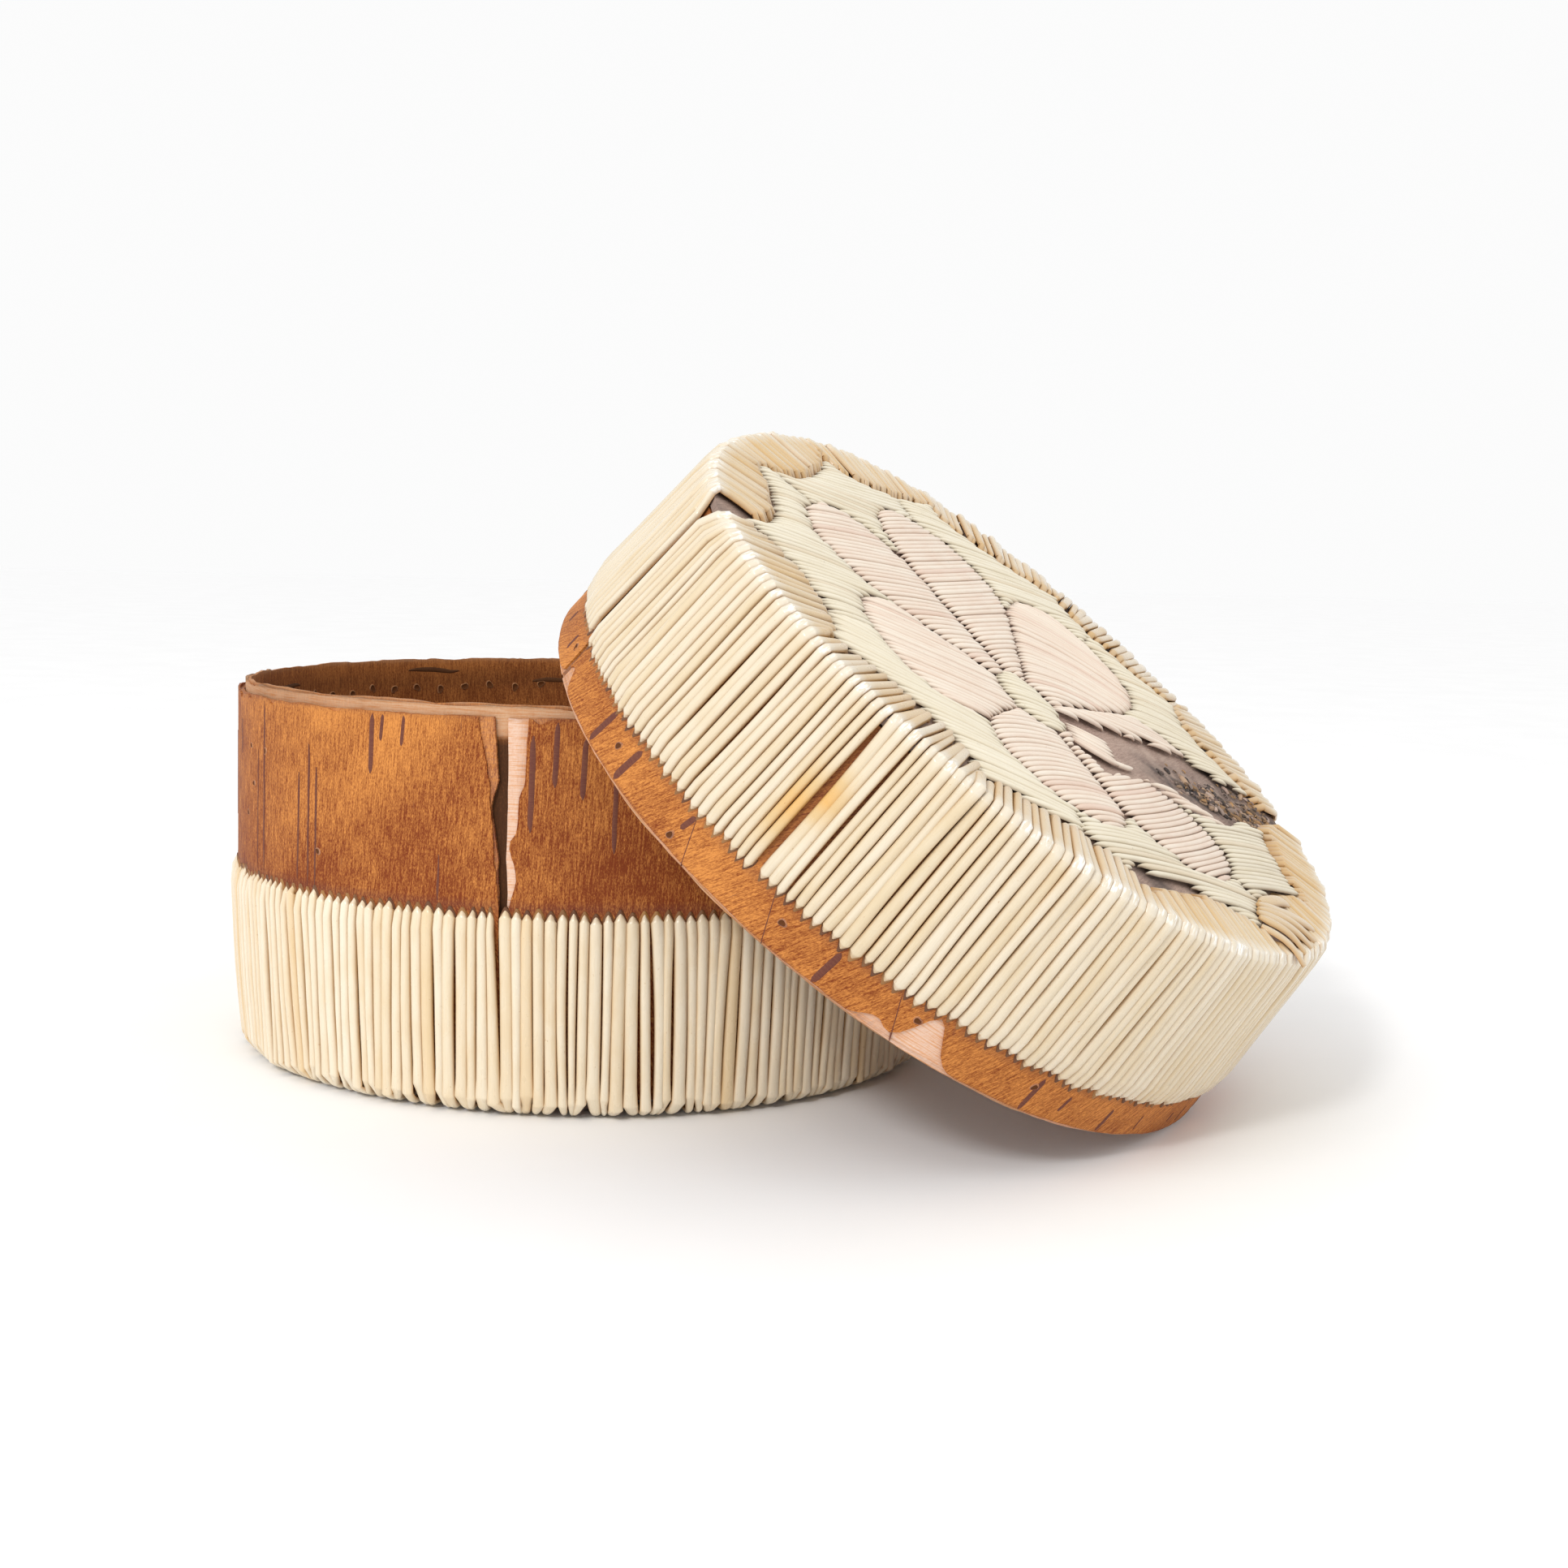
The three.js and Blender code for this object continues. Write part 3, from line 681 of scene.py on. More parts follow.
def wall_swell(height, degrees):
    return base_radius(height) + ragged(degrees, 21, 0.12, "swell") * np.clip((height - 25) / 20, 0, 1)


def left_edge(height, *key, back=0.0):
    """Turn of the seam's left edge: the wall's end leans away towards the top."""
    lean = np.interp(height, [10, WALL_LINE[1], 41, WALL_TOP[1]], [257.0, 256.3, 255.3, 253.6])
    return lean + torn(height, 0.35, *key) - back


def right_edge(height, *key, back=0.0):
    return 257.4 + torn(height, 0.14, *key) + back


def skin_peeled_back(height):
    """How far the skin has peeled back from the seam's right edge."""
    share = np.interp(height, [37, 43, 45, 54], [0.4, 0.55, 0.85, 1.0])
    upper = 3.1 * np.clip((height - 37) / 1.5, 0, 1) * share
    lower = 1.4 * bell(height - 32.5, 3.4)
    return upper + lower


def chipped(degrees):
    """How far flakes have broken off the wall's top edge."""
    flakes = [
        (197, 1.0, 0.8), (203.5, 0.7, 1.2), (212, 0.9, 0.9), (228, 0.5, 1.6), (262, 0.8, 1.1), (20, 0.9, 2),
    ]
    return sum(depth * bell(degrees - at, width) for at, depth, width in flakes)


def base_wall_tone(degrees, height, bare=0.0):
    """Lighter at the upper left of the seam, redder low down and to its right."""
    high = np.clip((height - 30) / 24, 0, 1)
    left = bell(np.mod(degrees, TURN) - 228, 24)
    tone = 0.1 + 0.24 * high + 0.62 * left * high
    # darker along the quill line, dirt and painted shade by the points, and painted shade along the top edge
    line = bell(height - WALL_LINE[1] - 0.2, 0.7)
    return masks(tone, 0.4 * line + 0.3 * bell(height - WALL_TOP[1], 0.5), bare)


def base_wall():
    """The two layers with their lenticels and awl holes."""
    skin = Skin()
    lower = same(WALL_FOOT[1])
    upper = lambda degrees: WALL_TOP[1] + torn(degrees, 0.25, "wall top") - chipped(np.mod(degrees, TURN))
    bark_layer(
        skin, wall_swell,
        lambda height: right_edge(height, "right skin", back=skin_peeled_back(height)),
        lambda height: left_edge(height, "left skin", back=0.25) + TURN,
        lower, upper, WALL_SKIN, BASE_WAVES, base_wall_tone, 390, 66,
    )
    core_tone = lambda degrees, height: base_wall_tone(
        degrees, height, bare=0.95 * bell(degrees - 258, 2.5) + 0.1
    )
    bark_layer(
        skin, lambda height, degrees: wall_swell(height, degrees) - WALL_SKIN,
        lambda height: right_edge(height, "right core"),
        lambda height: left_edge(height, "left core", back=-1.5 * np.clip((height - 42) / 3, 0, 1)) + TURN,
        lower, lambda degrees: WALL_TOP[1] + torn(degrees, 0.2, "core top") - 0.15,
        WALL_BARK - WALL_SKIN, BASE_WAVES, core_tone, 300, 48,
    )
    for degrees, low, high, width in [
        (207, 29, 46, 0.45), (209.5, 29, 53, 0.6), (219.8, 29, 44, 0.4), (222.3, 28.6, 48, 0.4),
        (224, 28.6, 45, 0.4), (235.3, 45, 53, 0.8), (237.2, 49.5, 53, 0.6), (240.8, 49, 53, 0.9),
        (246.2, 48.5, 53, 1.0), (247, 28.8, 46, 0.7), (251.2, 48.5, 53, 0.9), (261, 38.5, 51.2, 0.95),
        (264.5, 44.5, 53, 0.9), (268.5, 43, 51, 0.95), (273, 36, 48, 0.8), (279, 41, 52, 0.8),
    ]:
        scar(skin, wall_swell, BASE_WAVES, degrees, low, high, width, lean=0.4)
    chance = dice("base scars")
    for degrees in np.arange(290, 560, 4.3):
        low = chance.uniform(28, 46)
        high = min(WALL_TOP[1] - 0.5, low + chance.exponential(6) + 1.5)
        turn, width = degrees + chance.uniform(-2, 2), chance.uniform(0.4, 1.0)
        scar(skin, wall_swell, BASE_WAVES, turn, low, high, width, lean=0)
    for degrees, height in [(204.2, 46.3), (210, 46), (205.4, 41), (202.6, 36.5), (224.6, 33.5)]:
        awl_hole(skin, wall_swell(height, degrees), degrees, height, BASE_WAVES, 0.32)
    make_piece("strip_base_wall", skin, "base", "base_wall_bark", "wall_bark")


base_wall()


STITCH_LINE = 50  # height of the row of awl holes inside the base's rim


def base_liner():
    """Two layers: a pale fibrous outer one, torn along its top, and a brown inner face."""
    skin = Skin()
    outer = lambda height, degrees: base_radius(height) - WALL_BARK - GAP + 0.12
    lower = same(WALL_FOOT[1])
    start, stop = strip_ends(LINER_SEAM, 0.3, 0.3)
    rim = WALL_TOP[1] + LINER_RISE
    # the outer layer's grime: painted shade below the wall's top, where it stands in the gap behind the wall,
    # and a dark line along its torn top
    pale_tone = lambda degrees, height: masks(
        0.25,
        0.93 * np.clip((50.8 - height) / 0.6, 0, 1) + 0.6 * bell(height - rim + 0.3, 0.2),
        0.95 * np.clip((height - 50.5) / 0.8, 0, 1) - 0.3 * bell(degrees - 215, 18),
    )
    brown_tone = lambda degrees, height: masks(
        0.3 + 0.3 * bell(height - rim, 2), 0.25 * bell(height - rim + 4, 2), 0.5 * bell(height - rim, 0.5)
    )
    half = LINER_BARK / 2
    bark_layer(
        skin, outer, start, stop, lower, lambda degrees: rim - 0.5 + torn(degrees, 0.35, "liner outer"),
        half, BASE_WAVES, pale_tone, 420, 60,
    )
    bark_layer(
        skin, lambda height, degrees: outer(height, degrees) - half, start, stop, lower,
        lambda degrees: rim - 0.25 + torn(degrees, 0.2, "liner inner"),
        half, BASE_WAVES, brown_tone, 380, 48,
    )
    inside = lambda height: base_radius(height) - WALL_BARK - GAP + 0.12 - LINER_BARK
    for degrees in np.arange(80, 160, 5.3):
        height = STITCH_LINE + ragged(degrees, 3, 0.5, "awl")
        awl_hole(skin, inside(STITCH_LINE), degrees, height, BASE_WAVES, 0.45, side=-1)
    for degrees, height, reach in [
        (163, 51.8, 7), (124, 53, 10), (99, 51, 7), (90, 52, 6), (72, 49, 8), (40, 46, 9), (10, 50, 8),
        (143, 44, 9), (112, 40, 12), (85, 42, 7), (175, 45, 10), (200, 38, 9), (320, 44, 12), (290, 36, 9),
    ]:
        long_scar(skin, inside, degrees, height, reach)
    make_piece("strip_base_liner", skin, "base", "base_liner_bark", "liner_bark")


def long_scar(skin, surface, degrees, height, reach):
    """A lenticel that runs round the inside of the liner."""
    half = math.degrees(reach / surface(height)) / 2
    turn = np.linspace(degrees - half, degrees + half, 14)
    level = height + ragged(turn, 4, 0.3, "long scar", degrees)
    part = np.linspace(0.02, 0.98, 14)
    crest = ring(surface(level) - 0.1, turn, level, BASE_WAVES)
    blunt = np.sin(math.pi * part) ** 0.5
    add_quill(skin, crest, -ring(1, turn, 0, []), 1.0 * blunt, 0.3, 0.3, 0.85, 0.1, degrees)


base_liner()

# ---- Bark discs ----


def disc_grid(radius, count, waves):
    """A square grid of points drawn out into a disc, in plan."""
    even = np.linspace(-1, 1, count)
    x, y = np.meshgrid(even, even, indexing="ij")
    plan = np.stack([x * np.sqrt(1 - y * y / 2), y * np.sqrt(1 - x * x / 2)], axis=-1) * radius
    degrees = np.degrees(np.arctan2(plan[..., 1], plan[..., 0]))
    return plan * out_of_round(waves, degrees)[..., None]


def raised(plan, height):
    return np.concatenate([plan, np.broadcast_to(height, plan.shape[:2])[..., None]], axis=-1)


def lumps(plan, size, depth, *key):
    """Soft uneven heights over a plan."""
    chance = dice(*key)
    total = 0
    for _ in range(6):
        heading = chance.uniform(0, 2 * math.pi)
        along = plan[..., 0] * math.cos(heading) + plan[..., 1] * math.sin(heading)
        total = total + np.sin(along * chance.uniform(0.6, 1.6) / size + chance.uniform(0, 6))
    return depth * total / 6


def bark_disc(name, node, body, radius, low, high, waves, slot, masks_at, count=90, strew=None):
    """A disc between two heights. strew adds what lies on it."""
    skin = Skin()
    plan = disc_grid(radius, count, waves)
    inner = np.clip((1 - np.linalg.norm(plan, axis=-1) / radius) * 12, 0, 1)
    over = high + lumps(plan, 4, 0.12, name) * inner
    under = low - lumps(plan, 5, 0.04, name, "under") * inner
    grain = np.concatenate([plan, np.full((*plan.shape[:2], 1), 3.0)], axis=-1)
    skin.slab(raised(plan, np.maximum(under, low)), raised(plan, over), masks_at(plan), grain)
    if strew:
        strew(skin)
    make_piece(name, skin, body, node, slot)


def plain_wear(tone, grime):
    """Uneven tone and grime with nothing special on it."""
    return lambda plan: masks(tone + lumps(plan, 9, 0.2, "tone"), grime + lumps(plan, 6, 0.15, "grime"), 0.1)


bark_disc(
    "disc_base_bottom", "base_bottom_bark", "base", TURNED_IN_RADIUS - GAP, 0.0, WALL_FOOT[1] - GAP,
    BASE_WAVES, "bottom_bark", plain_wear(0.6, 0.1),
)
LINING_RADIUS = WALL_FOOT[0] - WALL_BARK - LINER_BARK - 3 * GAP
bark_disc(
    "disc_base_lining", "base_bottom_lining", "base", LINING_RADIUS, WALL_FOOT[1], WALL_FOOT[1] + DISC_BARK,
    BASE_WAVES, "liner_bark", plain_wear(0.4, 0.05),
)

# ---- Lid walls ----

lid_radius = through(RIM, LID_LINE, LID_WALL_TOP)
LID_SKIN = 0.3


def lid_peel(degrees):
    """How far the skin has come off upwards from the rim, near a turn."""
    return 5.6 * bell(degrees - 299.5, 2.6) + 1.6 * bell(degrees - 293, 2.0) + 2.2 * bell(degrees - 233, 1.6)


def lid_wall_tone(degrees, height, bare=0.0):
    """Lightest at the front; dirt and painted shade at the quill line, and painted shade under the quills."""
    tone = 0.58 + 0.1 * np.cos(np.radians(degrees - 260)) + ragged(degrees, 9, 0.12, "lid tone")
    line = bell(height - LID_LINE[1], 0.45)
    grime = 0.4 * line + 0.4 * bell(height - 0.4, 0.12) + 0.35 * np.clip((height - 6) / 3, 0, 1)
    return masks(tone, grime, bare)


def lid_wall():
    """A thin skin, peeled at the rim, over a paler core."""
    skin = Skin()
    start = lambda height: LID_SEAM + 0.5 + torn(height, 0.1, "lid start")
    stop = lambda height: LID_SEAM - 0.4 + TURN + torn(height, 0.1, "lid stop")
    top = same(LID_WALL_TOP[1])
    swell = lambda height, degrees: lid_radius(height) + ragged(degrees, 13, 0.1, "lid swell")
    bark_layer(
        skin, swell, start, stop,
        lambda degrees: RIM[1] + 0.4 + torn(degrees, 0.14, "rim") + lid_peel(np.mod(degrees, TURN)),
        top, LID_SKIN, LID_WAVES, lid_wall_tone, 460, 44,
    )
    core_tone = lambda degrees, height: lid_wall_tone(
        degrees, height, bare=0.45 + 0.5 * bell(np.mod(degrees, TURN) - 299, 6)
    )
    bark_layer(
        skin, lambda height, degrees: swell(height, degrees) - LID_SKIN, start, stop,
        lambda degrees: RIM[1] + 0.1 + torn(degrees, 0.1, "rim core"),
        top, WALL_BARK - LID_SKIN, LID_WAVES, core_tone, 460, 44,
    )
    marks = [
        (245.2, 0.6, 5.7, 1.15), (251.8, 0.5, 5.5, 1.2), (262.5, 3.2, 5.5, 0.9), (285, 0.5, 5.4, 1.1),
        (316.2, 0.4, 5.4, 0.9), (322, 2.0, 4.4, 0.6), (331, 0.6, 4.2, 0.8),
    ]
    for degrees, low, high, width in marks:
        scar(skin, swell, LID_WAVES, degrees, low, high, width, lean=0.5)
    chance = dice("lid scars")
    for degrees in np.arange(340, 588, 7.0):
        low = chance.uniform(0.3, 2.5)
        high = chance.uniform(3.4, 5.6)
        turn, width = degrees + chance.uniform(-3, 3), chance.uniform(0.4, 1.1)
        scar(skin, swell, LID_WAVES, turn, low, high, width, lean=0)
    for degrees in (264, 276.5, 295):
        scar(skin, swell, LID_WAVES, degrees, 0.1, 5.8, 0.18, lean=-2.5, proud=0.03)
    for degrees, height in [(249, 3.4), (261.8, 1.7), (278, 3.7), (297.2, 4.2), (315.8, 3.9), (229.5, 3.6)]:
        awl_hole(skin, swell(height, degrees), degrees, height, LID_WAVES, 0.36)
    make_piece("strip_lid_wall", skin, "lid", "lid_wall_bark", "wall_bark")


lid_wall()


def lid_liner():
    """One layer, which shows as a second edge below the wall's."""
    skin = Skin()
    outer = lambda height, degrees: lid_radius(height) - WALL_BARK - GAP + 0.12
    start, stop = strip_ends(LID_LINER_SEAM, 0.3, 0.3)
    tone = lambda degrees, height: masks(
        0.55, 0.3 * bell(height - 3, 2), 0.8 * bell(height + LINER_DROP, 0.6)
    )
    bark_layer(
        skin, outer, start, stop, lambda degrees: -LINER_DROP + torn(degrees, 0.14, "lid liner"),
        same(LID_LINER_TOP), LINER_BARK, LID_WAVES, tone, 420, 60,
    )
    make_piece("strip_lid_liner", skin, "lid", "lid_liner_bark", "liner_bark")


lid_liner()

# ---- Lid edge quills ----

EDGE_PITCH = 1.52
FINE_PITCH = 1.38
FINE_SCALLOPS = (0, 1, 9, 10, 11)
FLAP_SKEW = 1.4  # above 1, a scallop is deepest past its middle
LOST_NEAR = 271.6  # a side quill has shrunk away from its neighbours at this turn
FRAYED_SCALLOP = 4
# Loose quills over the frayed scallop: where each starts and stops.
LOOSE = [
    ((43.4, -7.0), (50.8, 5.4)), ((43.9, -8.6), (52.0, 1.2)), ((44.2, -10.0), (52.6, -2.4)),
    ((44.8, -11.6), (52.4, -7.4)), ((45.8, -13.6), (53.2, -11.6)), ((43.4, -5.2), (46.0, 6.2)),
]
HOLE_TURN = 231.2  # the flaps have drawn apart here, over the seam
HOLE_RADIUS = 52.8


def flap_end(degrees, scallop):
    """Radius at which the quills of a scallop end, at a turn."""
    low, high = scallop
    across = 2 * np.clip((degrees - low) / (high - low), 0, 1) ** FLAP_SKEW - 1
    return CUSP_RADIUS + (CROWN_RADIUS - CUSP_RADIUS) * np.sqrt(1 - across * across)


def amber_stain(degrees, height):
    """Where glue has run on the side quills."""
    runs_at = [(270.4, 15.5, 4.5), (273.2, 18.5, 3.0), (229.2, 15.0, 5.0)]
    return sum(4.5 * bell(degrees - at, 0.7) * bell(height - middle, reach) for at, middle, reach in runs_at)


def loose_quills(skin):
    """Broad quills that have sprung out of their scallop and lie splayed over it."""
    chance = dice("loose")
    part = np.linspace(0, 1, 16)
    for start, stop in LOOSE:
        x, y = (a + (b - a) * part for a, b in zip(start, stop))
        x = x + chance.uniform(-0.9, 0.9) * np.sin(math.pi * part)
        height = LID_CREASE[1] + chance.uniform(0.2, 0.6) + 0.8 * np.sin(math.pi * part) - 0.5 * part
        crest = np.stack([x, y, height], axis=-1)
        blunt = np.clip(np.minimum(part, 1 - part) * 9, 0.15, 1) ** 0.6
        add_quill(
            skin, crest, UPWARD, chance.uniform(1.6, 2.1) * blunt, 0.5,
            0.7, 0.15, chance.uniform(0.35, 0.8), chance.uniform(0, 300), crease=0.9,
        )


def edge_profile(end, lift):
    """An edge quill's line of radius and height: out of the wall, up, over the edge and in to its end."""
    return softened(
        [
            (LID_LINE[0] - 0.1, LID_LINE[1] - 0.3),
            (LID_LINE[0] + 0.65, LID_LINE[1] + 0.8),
            LID_BULGE,
            (LID_SHOULDER[0] + lift, LID_SHOULDER[1]),
            (LID_EDGE[0] + lift, LID_EDGE[1] + 0.15),
            (LID_CREASE[0] + lift, LID_CREASE[1] + 0.1 + lift),
            (min(end + 1.6, LID_CREASE[0] - 0.4), LID_CREASE[1] + 0.2 + lift),
            (end, TOP_UNDERSIDE),
        ],
        0.2,
        2.0,
    )


def pushed_aside(head, radii, climb):
    """Degrees that a quill is pushed along by the gap of a lost quill and by the hole over the seam."""
    aside = head - LOST_NEAR
    by_lost = 0.4 * np.sign(aside) * bell(aside, 2.6) * (1 - climb) ** 0.45
    from_hole = (head - HOLE_TURN + TURN / 2) % TURN - TURN / 2
    parted = np.clip(1 - ((radii - HOLE_RADIUS) / 5.6) ** 2, 0, 1) * np.clip((climb - 0.85) / 0.15, 0, 1)
    return by_lost, 3.3 * np.sign(from_hole) * bell(from_hole, 6.0) * parted


def edge_quill_group(index, scallop):
    """The quills of one scallop: up the side, over the folded edge and in to the scallop's curve."""
    skin = Skin()
    low, high = scallop
    middle = (low + high) / 2
    pitch = FINE_PITCH if index in FINE_SCALLOPS else EDGE_PITCH
    count = round(math.radians(high - low) * LID_BULGE[0] / pitch)
    heads = shared_out(count, low, high, 0.12, "edge heads", index)
    folds = shared_out(count, low, high, 0.16, "edge folds", index)
    chance = dice("edge quills", index)
    for k in range(count):
        if index == len(SCALLOPS) - 1 and k == count - 1:
            continue  # lost at the seam
        head, fold = (heads[k] + heads[k + 1]) / 2, (folds[k] + folds[k + 1]) / 2
        end = flap_end(fold, scallop) + chance.normal(0, 0.3)
        lift = chance.normal(0, 0.14)
        if index == FRAYED_SCALLOP and 0.04 < k / count < 0.5:  # the loose quills lie in their place
            end = chance.uniform(50.0, 53.0)
        shrunk = chance.random() < 0.27
        profile = edge_profile(end, lift)
        outward = profile_outward(profile)
        climb = np.clip((profile[:, 1] - LID_LINE[1]) / (LID_CREASE[1] - LID_LINE[1]), 0, 1)
        inward = np.clip(LID_CREASE[0] - profile[:, 0], 0, None)
        spread = 1 + 0.5 * inward / LID_CREASE[0]
        degrees = head + (fold - head) * climb
        degrees = middle + (degrees - middle) * spread + chance.normal(0, 0.12) * np.sin(math.pi * climb)
        degrees += chance.normal(0, 0.35) * inward / 8
        for push in pushed_aside(head, profile[:, 0], climb):
            degrees += push
        head_width, fold_width = heads[k + 1] - heads[k], folds[k + 1] - folds[k]
        share = np.radians(head_width + (fold_width - head_width) * climb) * profile[:, 0] * spread
        from_point = np.clip((profile[:, 1] - LID_LINE[1] + 0.45) / POINT_LENGTH, 0.05, 1) ** 0.7
        to_end = np.clip((profile[:, 0] - end) / 1.8, 0.3, 1)
        narrowing = np.minimum(from_point, np.where(climb > 0.98, to_end, 1))
        crease = bell(profile[:, 1] - LID_CREASE[1], 0.9) * bell(profile[:, 0] - LID_EDGE[0], 1.4)
        line = profile.copy()
        line[:, 1] += chance.normal(0, 0.25) * np.exp(-(profile[:, 1] - LID_LINE[1]).clip(0) / 4)
        crest = ring(line[:, 0], degrees, line[:, 1], LID_WAVES)
        on_top = np.clip(inward / 2, 0, 1)
        pointed = 1 - from_point
        near_end = on_top * np.exp(-(profile[:, 0] - end).clip(0) / 1.3)
        glue = amber_stain(head, profile[:, 1])
        # Painted light: a highlight at the fold through a tone far below 0, shade at the points (with dirt)
        # and where the ends dip into the top, and crease shade down the sides.
        add_quill(
            skin,
            crest,
            bent_outward(outward, degrees),
            share * narrowing * (chance.uniform(1.0, 1.09) - 0.19 * shrunk + 0.06 * crease),
            QUILL_HEIGHT * (0.5 + 0.5 * narrowing) * (1 - 0.3 * crease),
            chance.uniform(0.15, 1.15) - 2.6 * crease,
            0.4 * pointed**2 + 0.85 * near_end,
            0.2 * pointed + on_top * chance.uniform(0.1, 0.95) ** 1.2 + glue,
            chance.uniform(0, 500),
            pinch=0.6 * pointed,
            crease=1.0 if shrunk else chance.uniform(0.7, 1.0),
        )
        # a dark sheet under the point: painted shade of its hole
        pit_shade_sheet(skin, chance, LID_LINE[0], degrees[0], line[0, 1] + 0.3, -1, share[0], LID_WAVES, head)
    if index == FRAYED_SCALLOP:
        loose_quills(skin)
    name = f"lid_edge_quills_{index + 1}"
    make_piece(f"split_{name}", skin, "lid", name, "edge_quill")


for index, scallop in enumerate(SCALLOPS):
    edge_quill_group(index, scallop)

# ---- Quilled top ----


def lay_out_petals():
    """Each petal's direction and length from the flower's heart, and where it parts from its neighbours."""
    petals = []
    for index in range(PETAL_COUNT):
        tip_turn = FIRST_PETAL + index * TURN / PETAL_COUNT
        tip = ring(PETAL_TIP_RADIUS, tip_turn, 0, [])[:2] - FLOWER
        direction = math.degrees(math.atan2(tip[1], tip[0])) % TURN
        petals.append({"tip_turn": tip_turn, "direction": direction, "length": math.hypot(*tip)})
    for petal, following in zip(petals, petals[1:] + petals[:1]):
        petal["after"] = ((following["direction"] - petal["direction"]) % TURN) / 2
        petal["shoulder_after"] = PETAL_SHOULDER * min(petal["length"], following["length"])
        following["before"] = petal["after"]
        following["shoulder_before"] = petal["shoulder_after"]
    return petals


PETALS = lay_out_petals()


def petal_reach(petal, turned):
    """How far a petal reaches at an angle turned from its own direction."""
    after = turned > 0
    edge = np.where(after, petal["after"], petal["before"])
    shoulder = np.where(after, petal["shoulder_after"], petal["shoulder_before"])
    across = np.clip(np.abs(turned) / edge, 0, 1)
    return shoulder + (petal["length"] - shoulder) * (1 - across**PETAL_SIDE_POWER) ** PETAL_TIP_POWER


def border_radius(degrees):
    """Where the scalloped border lies at a turn, before it is pressed out of round."""
    turned = SCALLOPS[0][0] + np.mod(degrees - SCALLOPS[0][0], TURN)
    radius = np.full_like(turned, CUSP_RADIUS)
    for scallop in SCALLOPS:
        inside = (turned >= scallop[0]) & (turned < scallop[1])
        radius = np.where(inside, flap_end(turned, scallop), radius)
    return radius


# Outlines of the bare bark on the top: the worn petal with the strip that runs from it to the
# edge, and a slit where the ground has drawn back from the border.
BARE_OUTLINES = [
    [(8, -5), (12, 10), (18.5, 27), (26, 34.5), (32, 43), (39, 50), (49, 40), (37, 28.5), (31, 22),
     (26, 16.7), (21, 2.7), (17.6, -9), (12, -9.5)],
    [(31.5, -36), (36.5, -31), (41, -21.5), (37.2, -19.4), (33.4, -27.2), (30.2, -32.0)],
]


def within(places, outline):
    """Whether places lie inside an outline."""
    x, y = places[..., 0], places[..., 1]
    inside = np.zeros(x.shape, bool)
    for (x0, y0), (x1, y1) in zip(outline, outline[1:] + outline[:1]):
        crosses = (y0 > y) != (y1 > y)
        meets = x0 + (y - y0) / ((y1 - y0) or 1) * (x1 - x0)
        inside ^= crosses & (x < meets)
    return inside


def patch_at(places):
    """Name of the patch that each place on the top belongs to."""
    arm = places - FLOWER
    reach = np.linalg.norm(arm, axis=-1)
    heading = np.degrees(np.arctan2(arm[..., 1], arm[..., 0]))
    turn = np.degrees(np.arctan2(places[..., 1], places[..., 0]))
    from_middle = np.linalg.norm(places, axis=-1)
    names = np.full(reach.shape, "", dtype="U24")
    inside = from_middle < border_radius(turn) * out_of_round(LID_WAVES, turn)
    for index, petal in enumerate(PETALS):
        beyond = np.mod(turn - petal["tip_turn"], TURN) < TURN / PETAL_COUNT
        names = np.where(inside & beyond, f"lid_ground_quills_{index + 1}", names)
    for index, petal in enumerate(PETALS):
        turned = np.mod(heading - petal["direction"] + TURN / 2, TURN) - TURN / 2
        mine = (turned > -petal["before"]) & (turned <= petal["after"]) & (reach < petal_reach(petal, turned))
        if index > 0:
            names = np.where(mine, f"lid_petal_quills_{index + 1}", names)
        else:
            names = np.where(mine, "", names)
            names = np.where(mine & (turned < WORN_FROM), "lid_petal_quills_1a", names)
            names = np.where(mine & (turned > WORN_TO), "lid_petal_quills_1b", names)
    names = np.where(reach < HEART_RADIUS, "lid_flower_heart", names)
    across = ragged(places[..., 1], 0.9, 0.8, "worn")
    along = ragged(places[..., 0], 0.9, 0.8, "w")
    frayed = places + np.stack([across, along], axis=-1)
    for outline in BARE_OUTLINES:
        names = np.where(within(frayed, outline), "", names)
    return names


FIELD_PITCH = 0.88
FIELD_QUILL_HEIGHT = 0.5
FIELD_DIRECTION = 74.0  # the way the top's quills run, from the lid's own +X
SAMPLE = 0.2  # between the places that are looked up along a quill
SHORTEST_QUILL = 1.4
MOST_REACH = 58.0


def runs(inside):
    """Start and stop indices of each unbroken stretch of True."""
    edges = np.flatnonzero(np.diff(np.concatenate([[0], inside.astype(int), [0]])))
    return zip(edges[::2], edges[1::2])


